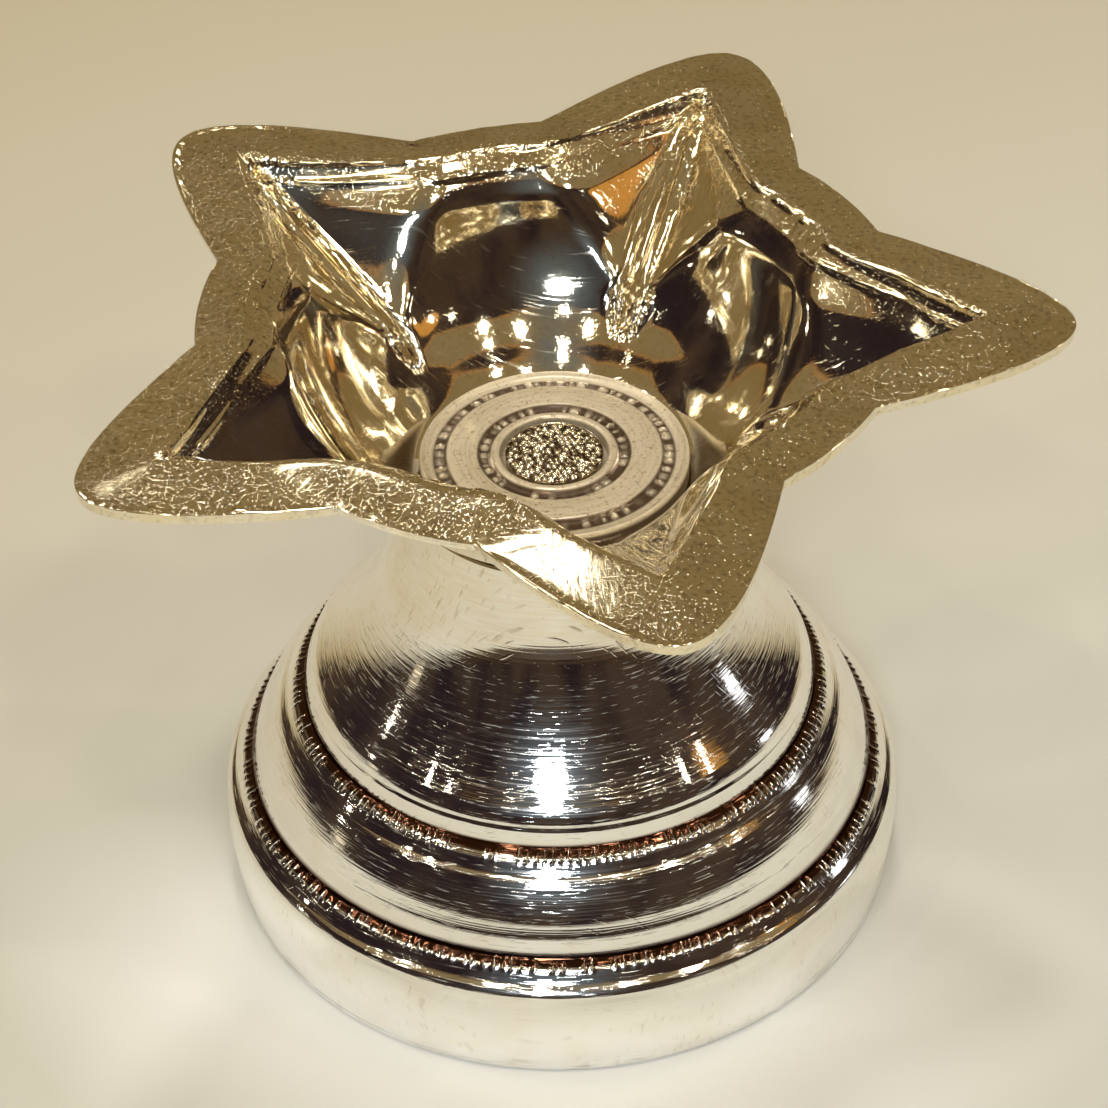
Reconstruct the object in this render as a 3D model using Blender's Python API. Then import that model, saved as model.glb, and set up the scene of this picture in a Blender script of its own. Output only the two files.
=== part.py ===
"""A five-wick oil lamp in silver: a pressed star dish riveted to the top of a spun, stepped foot.

Lengths are metres and +Z is up. The origin is on the foot's axis, on the surface that the lamp stands on, and one
spout of the dish points along +X.
"""

import math

import bmesh
import bpy

# Foot: a spun shell, open below, of a base, a tier and a bell that sweeps up into the neck
FOOT_RADIUS = 0.0200
FOOT_HEIGHT = 0.0270
FOOT_WALL = 0.0010
BASE_BULGE = 0.00035
BASE_BULGE_HEIGHT = 0.0042
BASE_BAND_DRAW = 0.00015
BASE_HEIGHT = 0.00795
BASE_ROUND = 0.00165
BASE_LEAN = math.radians(8)
BASE_SLOPE = math.radians(46)
TIER_SETBACK = 0.00189
TIER_HEIGHT = 0.00525
TIER_ROUND = 0.0093
BELL_SETBACK = 0.00342
BELL_ROUND = 0.0036
BELL_LEAN = math.radians(5)
NECK_RADIUS = 0.00845
NECK_OVERSHOOT = 0.0018

# Dish: one pressed sheet with a round bowl, five spouts and a flange cut as five leaf tips
SPOUT_COUNT = 5
SHEET = 0.0006
FLOOR_WIDTH = 0.00205
FLOOR_RISE = 0.0022
FLOOR_HOLLOW = 1.15
WALL_FLARE = 0.00415
WALL_HEIGHT = 0.0070
WALL_ROUND = 0.0150
ROLL_WIDTH = 0.0024
ROLL_HEIGHT = 0.0024
ROLL_PULL_OUT = 0.0008
ROLL_PULL_UP = 0.0015
SPOUT_START_REACH = 0.0020
SPOUT_START_CLIMB = 0.0017
SPOUT_RIM_REACH = 0.0071
SPOUT_HALF_ANGLE = math.radians(30)
SPOUT_LIP_HALF_ANGLE = math.radians(36)
SPOUT_TIP_ROUND = 0.0010
SPOUT_SHOULDER = 0.0012
SPOUT_VALLEY_POWER = 0.77
FLANGE_WIDTH = 0.0028
FLANGE_DROOP = 0.0005
LEAF_REACH = 0.0046
LEAF_ROOT_ANGLE = math.radians(24.5)
LEAF_TIP_FULLNESS = 0.0027
LEAF_SIDE_FULLNESS = 0.0055
LEAF_SIDE_LEAN = math.radians(25)

# The flange is bent a little by hand: how high each bend lifts it, bends in a turn, and where the first one is
FLANGE_BENDS = (
    (0.00040, 1, math.radians(15)),
    (0.00015, 2, math.radians(-10)),
    (0.00015, 3, math.radians(-70)),
)

# Rosette: a turned ring plate on the floor of the dish, from its seat under the rivet's head out to its stepped rim
ROSETTE_SEAT = 0.0005
ROSETTE_RECESS = 0.0008
ROSETTE_COLLAR_WIDTH = 0.00122
ROSETTE_BAND_WIDTH = 0.00218
ROSETTE_RIM_WIDTH = 0.00114
ROSETTE_RIM_STEP = 0.0003
ROSETTE_EDGE = 0.0005
ROSETTE_GROOVE_WIDTH = 0.0007
ROSETTE_GROOVE_DEPTH = 0.0005

# Rivet, and the washer that its tail is closed over inside the neck
RIVET_HEAD_RADIUS = 0.00276
RIVET_HEAD_EDGE = 0.0003
RIVET_HEAD_CROWN = 0.0003
RIVET_SHANK_RADIUS = 0.0015
RIVET_TAIL_RADIUS = 0.0026
RIVET_TAIL_HEIGHT = 0.0008
WASHER_RADIUS = 0.0042
WASHER_THICKNESS = 0.0008

# Clearances: between faces that seat on each other, and round what stands in a hole or a recess
SEAT_GAP = 0.0003
CLEARANCE = 0.0003

# Mesh steps
TURN_STEPS = 56
SMALL_TURN_STEPS = 40
BAND_STEPS = 2
ROUND_STEPS = 5
NECK_STEPS = 7
TIP_STEPS = 2
SIDE_STEPS = 4
SHOULDER_STEPS = 2
ARC_STEPS = 4
FLOOR_STEPS = 2
WALL_STEPS = 5
ROLL_STEPS = 3
FLANGE_STEPS = 3
CROWN_STEPS = 4
SHARP_ANGLE = math.radians(35)
MERGE_DISTANCE = 1e-6

# Radii and rises that follow from the sizes above
BELLY_RADIUS = FOOT_RADIUS + BASE_BULGE
TIER_RADIUS = BELLY_RADIUS - TIER_SETBACK
BELL_RADIUS = TIER_RADIUS - BELL_SETBACK
HOLE_RADIUS = RIVET_SHANK_RADIUS + CLEARANCE
RECESS_RADIUS = RIVET_HEAD_RADIUS + CLEARANCE
INNER_GROOVE_RADIUS = RECESS_RADIUS + ROSETTE_COLLAR_WIDTH
OUTER_GROOVE_RADIUS = INNER_GROOVE_RADIUS + ROSETTE_BAND_WIDTH
ROSETTE_RADIUS = OUTER_GROOVE_RADIUS + ROSETTE_RIM_WIDTH
FLOOR_FLAT_RADIUS = ROSETTE_RADIUS + CLEARANCE
FLOOR_EDGE_RADIUS = FLOOR_FLAT_RADIUS + FLOOR_WIDTH
WALL_TOP_RADIUS = FLOOR_EDGE_RADIUS + WALL_FLARE
WALL_TOP_RISE = FLOOR_RISE + WALL_HEIGHT
RIM_RADIUS = WALL_TOP_RADIUS + ROLL_WIDTH
RIM_RISE = WALL_TOP_RISE + ROLL_HEIGHT
FLANGE_RADIUS = RIM_RADIUS + FLANGE_WIDTH
SPOUT_START_RADIUS = FLOOR_EDGE_RADIUS + SPOUT_START_REACH
SPOUT_START_RISE = FLOOR_RISE + SPOUT_START_CLIMB
SPOUT_TIP_RADIUS = RIM_RADIUS + SPOUT_RIM_REACH
LEAF_TIP_RADIUS = SPOUT_TIP_RADIUS + LEAF_REACH

# Levels of the stack on the axis, upwards and downwards from the disc that closes the top of the foot
FLOOR_LEVEL = FOOT_HEIGHT + SEAT_GAP + SHEET
ROSETTE_LEVEL = FLOOR_LEVEL + SEAT_GAP
ROSETTE_TOP = ROSETTE_LEVEL + ROSETTE_SEAT + ROSETTE_RECESS
HEAD_SEAT = ROSETTE_LEVEL + ROSETTE_SEAT + SEAT_GAP
FOOT_CEILING = FOOT_HEIGHT - FOOT_WALL
WASHER_TOP = FOOT_CEILING - SEAT_GAP
TAIL_SEAT = WASHER_TOP - WASHER_THICKNESS - SEAT_GAP


def clear_scene():
    for obj in list(bpy.data.objects):
        bpy.data.objects.remove(obj, do_unlink=True)


def metal(name, colour, roughness):
    material = bpy.data.materials.new(name)
    material.use_nodes = True
    shader = material.node_tree.nodes["Principled BSDF"]
    shader.inputs["Base Color"].default_value = (*colour, 1.0)
    shader.inputs["Metallic"].default_value = 1.0
    shader.inputs["Roughness"].default_value = roughness
    return material


def steps_between(start, end, count):
    """Evenly spaced values from start to end, both included."""
    return [start + (end - start) * i / count for i in range(count + 1)]


def between(a, b, share):
    return tuple(start + (end - start) * share for start, end in zip(a, b))


def on_circle(radius, angle):
    return (radius * math.cos(angle), radius * math.sin(angle))


def bezier(controls, share):
    """Point of the curve that a list of control points draws."""
    while len(controls) > 1:
        controls = [between(a, b, share) for a, b in zip(controls, controls[1:])]
    return controls[0]


def finish_object(name, mesh_data, material):
    """Cleans and closes a bmesh, and puts it in the scene as a smooth-shaded object."""
    bmesh.ops.remove_doubles(mesh_data, verts=mesh_data.verts, dist=MERGE_DISTANCE)
    bmesh.ops.recalc_face_normals(mesh_data, faces=mesh_data.faces)
    mesh = bpy.data.meshes.new(name)
    mesh_data.to_mesh(mesh)
    mesh_data.free()
    mesh.materials.append(material)
    mesh.shade_smooth()
    mesh.set_sharp_from_angle(angle=SHARP_ANGLE)
    obj = bpy.data.objects.new(name, mesh)
    bpy.context.scene.collection.objects.link(obj)
    return obj


def turned(name, profile, steps, material):
    """A solid of revolution about Z, from the (radius, height) points of its closed half section."""
    mesh_data = bmesh.new()
    points = [mesh_data.verts.new((radius, 0.0, height)) for radius, height in profile]
    edges = [mesh_data.edges.new((a, b)) for a, b in zip(points, points[1:])]
    if profile[0][0] > 0:
        edges.append(mesh_data.edges.new((points[-1], points[0])))
    bmesh.ops.spin(
        mesh_data,
        geom=points + edges,
        cent=(0.0, 0.0, 0.0),
        axis=(0.0, 0.0, 1.0),
        angle=2 * math.pi,
        steps=steps,
        use_merge=True,
        use_duplicate=False,
    )
    return finish_object(name, mesh_data, material)


def arc(centre, radius, start, end, count):
    """Points of a circular arc in the half section, its angles measured up from the outward direction."""
    angles = steps_between(start, end, count)
    return [(centre[0] + radius * math.cos(a), centre[1] + radius * math.sin(a)) for a in angles]


def centre_of_arc(low, high, radius):
    """Centre of the arc that bulges outwards from the low point to the high point of a half section."""
    half = math.dist(low, high) / 2
    back = math.sqrt(radius**2 - half**2)
    across = (high[1] - low[1], low[0] - high[0])
    middle = ((low[0] + high[0]) / 2, (low[1] + high[1]) / 2)
    return (middle[0] - across[0] / (2 * half) * back, middle[1] - across[1] / (2 * half) * back)


def angle_from(centre, point):
    return math.atan2(point[1] - centre[1], point[0] - centre[0])


def foot_side(inset):
    """Half section of the foot's side from the bottom edge to the top of the neck, drawn in by an inset."""
    base_corner = (TIER_RADIUS, BASE_HEIGHT)
    tier_corner = (BELL_RADIUS, BASE_HEIGHT + TIER_HEIGHT)

    # The base's band ends in a round, and a straight slope runs on from it to the tier
    round_width = BASE_ROUND * (math.cos(BASE_LEAN) - math.cos(BASE_SLOPE))
    slope_width = BELLY_RADIUS - BASE_BAND_DRAW - round_width - TIER_RADIUS
    slope_end = (TIER_RADIUS + slope_width, BASE_HEIGHT - slope_width / math.tan(BASE_SLOPE))
    base_centre = (
        slope_end[0] - BASE_ROUND * math.cos(BASE_SLOPE),
        slope_end[1] - BASE_ROUND * math.sin(BASE_SLOPE),
    )

    tier_centre = centre_of_arc(base_corner, tier_corner, TIER_ROUND)
    tier_start = angle_from(tier_centre, base_corner)
    tier_end = angle_from(tier_centre, tier_corner)

    bell_centre = (
        tier_corner[0] - BELL_ROUND * math.cos(BELL_LEAN),
        tier_corner[1] - BELL_ROUND * math.sin(BELL_LEAN),
    )
    # The hollow sweep of the neck touches the bell's round, and would stand upright just above the foot's top
    neck_level = FOOT_HEIGHT + NECK_OVERSHOOT
    reach = bell_centre[0] - NECK_RADIUS
    climb = neck_level - bell_centre[1]
    sweep = (reach**2 + climb**2 - BELL_ROUND**2) / (2 * (BELL_ROUND + reach))
    sweep_centre = (NECK_RADIUS + sweep, neck_level)
    bell_end = angle_from(bell_centre, sweep_centre)
    neck_end = math.pi + math.asin(NECK_OVERSHOOT / (sweep + inset))

    bottom = (FOOT_RADIUS - inset, 0.0)
    belly = (BELLY_RADIUS - inset, BASE_BULGE_HEIGHT)
    side = list(zip(*(steps_between(a, b, BAND_STEPS) for a, b in zip(bottom, belly))))
    side += arc(base_centre, BASE_ROUND - inset, BASE_LEAN, BASE_SLOPE, ROUND_STEPS)
    side.append((base_corner[0] - inset * math.cos(BASE_SLOPE), base_corner[1] - inset * math.sin(BASE_SLOPE)))
    side += arc(tier_centre, TIER_ROUND - inset, tier_start, tier_end, ROUND_STEPS)
    side += arc(bell_centre, BELL_ROUND - inset, BELL_LEAN, bell_end, ROUND_STEPS)
    return side + arc(sweep_centre, sweep + inset, math.pi + bell_end, neck_end, NECK_STEPS)[1:]


def make_foot(material):
    """A shell of even wall, closed at the top of the neck by a disc with the rivet's hole."""
    outside = foot_side(0.0)
    inside = [point for point in foot_side(FOOT_WALL) if point[1] < FOOT_CEILING]
    disc_under = [(NECK_RADIUS - FOOT_WALL, FOOT_CEILING), (HOLE_RADIUS, FOOT_CEILING)]
    profile = [(HOLE_RADIUS, FOOT_HEIGHT)] + outside[::-1] + inside + disc_under
    return turned("foot_shell", profile, TURN_STEPS, material)


def floor_stations():
    """Half section of the bowl's floor: radius, rise above its flat middle, and the tilt of its normal."""
    upright = math.pi / 2
    stations = [(HOLE_RADIUS, 0.0, upright), (FLOOR_FLAT_RADIUS, 0.0, upright)]
    for share in steps_between(0.0, 1.0, FLOOR_STEPS)[1:-1]:
        slope = FLOOR_HOLLOW * FLOOR_RISE / FLOOR_WIDTH * share ** (FLOOR_HOLLOW - 1)
        radius = FLOOR_FLAT_RADIUS + FLOOR_WIDTH * share
        stations.append((radius, FLOOR_RISE * share**FLOOR_HOLLOW, upright - math.atan(slope)))
    return stations


def wall_stations():
    """Half section of the bowl's wall and of the roll that turns it out into the flange, given as for the floor."""
    foot = (FLOOR_EDGE_RADIUS, FLOOR_RISE)
    top = (WALL_TOP_RADIUS, WALL_TOP_RISE)
    centre = centre_of_arc(foot, top, WALL_ROUND)
    stations = []
    for angle in steps_between(angle_from(centre, foot), angle_from(centre, top), WALL_STEPS):
        radius = centre[0] + WALL_ROUND * math.cos(angle)
        rise = centre[1] + WALL_ROUND * math.sin(angle)
        stations.append((radius, rise, -angle))
    roll = [top, (top[0] + ROLL_PULL_OUT, top[1] + ROLL_PULL_UP), (RIM_RADIUS, RIM_RISE)]
    for share in steps_between(0.0, 1.0, ROLL_STEPS)[1:]:
        radius, rise = bezier(roll, share)
        out, up = (end - start for start, end in zip(bezier(roll[:2], share), bezier(roll[1:], share)))
        stations.append((radius, rise, math.atan2(out, up)))
    return stations


def valley_reach(rise):
    """How far out the valley of a spout is at a rise: up from the floor's edge to its start, then out to its tip."""
    if rise < SPOUT_START_RISE:
        climbed = max(rise - FLOOR_RISE, 0.0) / SPOUT_START_CLIMB
        return FLOOR_EDGE_RADIUS + SPOUT_START_REACH * climbed
    left = max(RIM_RISE - rise, 0.0) / (RIM_RISE - SPOUT_START_RISE)
    return SPOUT_TIP_RADIUS - (SPOUT_TIP_RADIUS - SPOUT_START_RADIUS) * left ** (1 / SPOUT_VALLEY_POWER)


def around(half):
    """The whole outline, from half of one spout: its points run from the tip to the middle of the wall beside it."""
    sector = [(along, -across) for along, across in half[-2:0:-1]] + half
    outline = []
    for spout in range(SPOUT_COUNT):
        turn = 2 * math.pi * spout / SPOUT_COUNT
        for along, across in sector:
            x = along * math.cos(turn) - across * math.sin(turn)
            y = along * math.sin(turn) + across * math.cos(turn)
            outline.append((x, y))
    return outline


def spout_outline(circle, reach, half_angle):
    """Level outline of a round wall with pointed spouts. A spout that reaches no further than the wall is one point."""
    tip = (max(reach, circle), 0.0)
    slope = math.tan(half_angle)
    square = 1 + slope**2
    middle = slope**2 * tip[0]
    root = math.sqrt(max(middle**2 - square * (middle * tip[0] - circle**2), 0.0))
    along = (middle + root) / square
    corner = (along, slope * (tip[0] - along))
    corner_angle = math.atan2(corner[1], corner[0])
    wall_end = math.pi / SPOUT_COUNT

    side_length = max(math.dist(tip, corner), MERGE_DISTANCE)
    shoulder = min(SPOUT_SHOULDER, side_length / 3, circle * (wall_end - corner_angle) / 3)
    side_start = between(tip, corner, min(SPOUT_TIP_ROUND, side_length / 3) / side_length)
    side_end = between(corner, tip, shoulder / side_length)
    arc_start_angle = corner_angle + shoulder / circle
    arc_start = on_circle(circle, arc_start_angle)

    valley = [(side_start[0], -side_start[1]), tip, side_start]
    half = [bezier(valley, share) for share in steps_between(0.5, 1.0, TIP_STEPS)[:-1]]
    half += [between(side_start, side_end, share) for share in steps_between(0.0, 1.0, SIDE_STEPS)[:-1]]
    half += [bezier([side_end, corner, arc_start], t) for t in steps_between(0.0, 1.0, SHOULDER_STEPS)[:-1]]
    half += [on_circle(circle, angle) for angle in steps_between(arc_start_angle, wall_end, ARC_STEPS)]
    return around(half)


def leaf_outline():
    """Outer outline of the flange: a circle with leaf-shaped tips, rounded at their points."""
    root = on_circle(FLANGE_RADIUS, LEAF_ROOT_ANGLE)
    side_pull = on_circle(LEAF_SIDE_FULLNESS, -LEAF_SIDE_LEAN)
    controls = [
        (LEAF_TIP_RADIUS, 0.0),
        (LEAF_TIP_RADIUS, LEAF_TIP_FULLNESS),
        (root[0] + side_pull[0], root[1] + side_pull[1]),
        root,
    ]
    shares = steps_between(0.0, 1.0, TIP_STEPS + SIDE_STEPS + SHOULDER_STEPS)
    half = [bezier(controls, share) for share in shares[:-1]]
    angles = steps_between(LEAF_ROOT_ANGLE, math.pi / SPOUT_COUNT, ARC_STEPS)
    return around(half + [on_circle(FLANGE_RADIUS, angle) for angle in angles])


def hand_bend(x, y):
    """Lift of the flange at a point, which fades out towards the rim of the bowl."""
    out = (math.hypot(x, y) - WALL_TOP_RADIUS) / (ROLL_WIDTH + FLANGE_WIDTH)
    fade = min(max(out, 0.0), 1.0) ** 2
    angle = math.atan2(y, x)
    return fade * sum(lift * math.cos(count * (angle - first)) for lift, count, first in FLANGE_BENDS)


def level_row(outline, rise):
    return [(x, y, FLOOR_LEVEL + rise + hand_bend(x, y)) for x, y in outline]


def sheet_rows(station, reach, lower_reach, half_angle):
    """The upper and the under row of the sheet at a station of the half section."""
    radius, rise, tilt = station
    lower_radius = radius + SHEET * math.cos(tilt)
    upper = level_row(spout_outline(radius, reach, half_angle), rise)
    under = level_row(spout_outline(lower_radius, lower_reach, half_angle), rise - SHEET * math.sin(tilt))
    return upper, under


def dish_rows():
    """Rows of points across the sheet: out over its upper face from the hole to the edge, and back underneath."""
    valley_slope = (RIM_RISE - SPOUT_START_RISE) / (SPOUT_TIP_RADIUS - SPOUT_START_RADIUS)
    side_slope = valley_slope / math.sin(SPOUT_HALF_ANGLE)
    valley_shift = SHEET * math.hypot(1, side_slope) / valley_slope

    rows = [sheet_rows(station, 0.0, 0.0, SPOUT_HALF_ANGLE) for station in floor_stations()]
    for station in wall_stations():
        radius, rise, tilt = station
        opened = max(rise - WALL_TOP_RISE, 0.0) / ROLL_HEIGHT
        half_angle = SPOUT_HALF_ANGLE + (SPOUT_LIP_HALF_ANGLE - SPOUT_HALF_ANGLE) * opened
        lower_reach = valley_reach(rise - SHEET * math.sin(tilt)) + valley_shift
        rows.append(sheet_rows(station, valley_reach(rise), lower_reach, half_angle))

    rim = spout_outline(RIM_RADIUS, SPOUT_TIP_RADIUS, SPOUT_LIP_HALF_ANGLE)
    edge = leaf_outline()
    for share in steps_between(0.0, 1.0, FLANGE_STEPS)[1:]:
        outline = [between(inner, outer, share) for inner, outer in zip(rim, edge)]
        rise = RIM_RISE - FLANGE_DROOP * share
        rows.append((level_row(outline, rise), level_row(outline, rise - SHEET)))
    return [upper for upper, under in rows] + [under for upper, under in reversed(rows)]


def make_dish(material):
    """The sheet as one skin, from each row of points to the next and so back to the first."""
    mesh_data = bmesh.new()
    rows = [[mesh_data.verts.new(point) for point in row] for row in dish_rows()]
    count = len(rows[0])
    for row, following in zip(rows, rows[1:] + rows[:1]):
        for i in range(count):
            j = (i + 1) % count
            mesh_data.faces.new((row[i], row[j], following[j], following[i]))
    return finish_object("star_dish", mesh_data, material)


def groove(radius, outer_level):
    """Half section of a turned groove, from the rosette's top to the level outside it."""
    half = ROSETTE_GROOVE_WIDTH / 2
    bottom = ROSETTE_TOP - ROSETTE_GROOVE_DEPTH
    return [(radius - half, ROSETTE_TOP), (radius, bottom), (radius + half, outer_level)]


def make_rosette(material):
    """A ring plate with two turned grooves, a stepped rim and a recess for the rivet's head."""
    seat = ROSETTE_LEVEL + ROSETTE_SEAT
    profile = [(HOLE_RADIUS, seat), (RECESS_RADIUS, seat), (RECESS_RADIUS, ROSETTE_TOP)]
    profile += groove(INNER_GROOVE_RADIUS, ROSETTE_TOP)
    profile += groove(OUTER_GROOVE_RADIUS, ROSETTE_TOP - ROSETTE_RIM_STEP)
    profile += [
        (ROSETTE_RADIUS, ROSETTE_LEVEL + ROSETTE_EDGE),
        (ROSETTE_RADIUS, ROSETTE_LEVEL),
        (HOLE_RADIUS, ROSETTE_LEVEL),
    ]
    return turned("rosette", profile, SMALL_TURN_STEPS, material)


def make_rivet(material):
    """A round-headed rivet, its shank through the whole stack and its tail closed over the washer."""
    crown = []
    for turn in steps_between(math.pi / 2, 0.0, CROWN_STEPS):
        radius = RIVET_HEAD_RADIUS * math.cos(turn)
        crown.append((radius, HEAD_SEAT + RIVET_HEAD_EDGE + RIVET_HEAD_CROWN * math.sin(turn)))
    crown[0] = (0.0, crown[0][1])
    profile = crown + [
        (RIVET_HEAD_RADIUS, HEAD_SEAT),
        (RIVET_SHANK_RADIUS, HEAD_SEAT),
        (RIVET_SHANK_RADIUS, TAIL_SEAT),
        (RIVET_TAIL_RADIUS, TAIL_SEAT),
        (RIVET_SHANK_RADIUS, TAIL_SEAT - RIVET_TAIL_HEIGHT),
        (0.0, TAIL_SEAT - RIVET_TAIL_HEIGHT),
    ]
    return turned("centre_rivet", profile, SMALL_TURN_STEPS, material)


def make_washer(material):
    low = WASHER_TOP - WASHER_THICKNESS
    profile = [(HOLE_RADIUS, WASHER_TOP), (WASHER_RADIUS, WASHER_TOP), (WASHER_RADIUS, low), (HOLE_RADIUS, low)]
    return turned("rivet_washer", profile, SMALL_TURN_STEPS, material)


def main():
    clear_scene()
    spun_silver = metal("spun_silver", (0.86, 0.81, 0.70), 0.12)
    pressed_silver = metal("pressed_silver", (0.80, 0.73, 0.56), 0.18)
    satin_silver = metal("satin_silver", (0.84, 0.79, 0.67), 0.32)
    peened_silver = metal("peened_silver", (0.72, 0.64, 0.44), 0.25)
    make_foot(spun_silver)
    make_dish(pressed_silver)
    make_rosette(satin_silver)
    make_rivet(peened_silver)
    make_washer(satin_silver)


if __name__ == "__main__":
    main()
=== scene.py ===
"""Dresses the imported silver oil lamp: a pressed star dish riveted to the top of a spun, stepped foot.

Lengths are metres and +Z is up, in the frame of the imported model. The foot's axis is the Z axis, and one spout of the
dish points along +X.
"""

import logging
import math
from dataclasses import dataclass, replace
from enum import Enum

import bpy
import numpy as np
from mathutils import Matrix, Vector


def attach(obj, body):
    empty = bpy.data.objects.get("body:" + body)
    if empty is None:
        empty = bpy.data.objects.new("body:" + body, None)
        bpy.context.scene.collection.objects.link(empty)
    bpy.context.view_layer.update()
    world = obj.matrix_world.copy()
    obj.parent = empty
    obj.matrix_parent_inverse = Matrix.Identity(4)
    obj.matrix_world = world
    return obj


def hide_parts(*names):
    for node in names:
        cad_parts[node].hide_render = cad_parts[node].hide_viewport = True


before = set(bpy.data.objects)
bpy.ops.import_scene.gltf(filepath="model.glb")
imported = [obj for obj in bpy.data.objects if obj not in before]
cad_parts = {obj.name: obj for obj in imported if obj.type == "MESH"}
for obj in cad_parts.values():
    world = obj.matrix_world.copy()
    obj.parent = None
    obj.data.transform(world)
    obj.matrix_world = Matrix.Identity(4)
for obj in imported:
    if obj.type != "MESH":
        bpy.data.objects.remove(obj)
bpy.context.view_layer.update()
LOG = logging.getLogger("oil_lamp")

BAKE_MAP = "OFBake"
WEAR = "wear"
TARNISH_AND_PAINTED_SHADE = "tarnish_and_painted_shade"
BODY = "root"
MILLIMETRE = 0.001
PHOTO_TURN = math.radians(5.5)

Point = tuple[float, ...]
Colour = tuple[float, float, float]
Socket = bpy.types.NodeSocket


def even(start: float, end: float, count: int) -> list[float]:
    """Evenly spaced values.

    Args:
        start: First value.
        end: Last value.
        count: Number of steps between them.

    Returns:
        The values, with both ends.
    """
    return [start + (end - start) * i / count for i in range(count + 1)]


def mix(a: Point, b: Point, share: float) -> Point:
    """Point between two points.

    Args:
        a: Point at share 0.
        b: Point at share 1.
        share: How far the point is from a to b.

    Returns:
        The point.
    """
    return tuple(start + (end - start) * share for start, end in zip(a, b))


def bezier(controls: list[Point], share: float) -> Point:
    """Point of a Bezier curve.

    Args:
        controls: Control points of the curve.
        share: How far along the curve the point is, from 0 to 1.

    Returns:
        The point.
    """
    while len(controls) > 1:
        controls = [mix(a, b, share) for a, b in zip(controls, controls[1:])]
    return controls[0]


def arc(centre: Point, radius: float, angles: list[float]) -> list[Point]:
    """Points of a circular arc in a half section.

    Args:
        centre: Centre of the arc, as radius and height.
        radius: Radius of the arc.
        angles: Angles of the points, measured up from the outward direction.

    Returns:
        The points, as radius and height.
    """
    return [(centre[0] + radius * math.cos(a), centre[1] + radius * math.sin(a)) for a in angles]


def arc_centre(low: Point, high: Point, radius: float) -> Point:
    """Centre of an arc that bulges outwards in a half section.

    Args:
        low: Lower end of the arc.
        high: Upper end of the arc.
        radius: Radius of the arc.

    Returns:
        The centre, as radius and height.
    """
    half = math.dist(low, high) / 2
    back = math.sqrt(radius**2 - half**2)
    across = (high[1] - low[1], low[0] - high[0])
    middle = mix(low, high, 0.5)
    return (middle[0] - across[0] / (2 * half) * back, middle[1] - across[1] / (2 * half) * back)


def bearing(centre: Point, point: Point) -> float:
    """Angle of a point seen from a centre.

    Args:
        centre: Where the angle is measured.
        point: The point that is looked at.

    Returns:
        The angle in radians, measured up from the outward direction.
    """
    return math.atan2(point[1] - centre[1], point[0] - centre[0])


def fade(low: float, high: float, values: np.ndarray) -> np.ndarray:
    """Smooth step from 0 to 1.

    Args:
        low: Value where the step starts.
        high: Value where the step ends.
        values: Values to read the step at.

    Returns:
        The step at each value.
    """
    share = np.clip((np.asarray(values, float) - low) / (high - low), 0.0, 1.0)
    return share * share * (3 - 2 * share)


def subdivided(points: list[Point], longest: float) -> list[Point]:
    """A line of points with no step longer than a limit.

    Args:
        points: Corners of the line.
        longest: Longest step.

    Returns:
        The corners with the points put in between them.
    """
    fine = [points[0]]
    for a, b in zip(points, points[1:]):
        count = max(1, math.ceil(math.dist(a, b) / longest))
        fine += [mix(a, b, share) for share in even(0.0, 1.0, count)[1:]]
    return fine


def softened(points: np.ndarray, passes: int) -> np.ndarray:
    """Rounds the corners of rows of points, and leaves the first and the last row where they are.

    Args:
        points: Rows of points; the first axis runs along the section.
        passes: How often each row is drawn towards its neighbours.

    Returns:
        The rounded rows.
    """
    rounded = np.array(points, float)
    for _ in range(passes):
        rounded[1:-1] = 0.25 * rounded[:-2] + 0.5 * rounded[1:-1] + 0.25 * rounded[2:]
    return rounded


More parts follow.
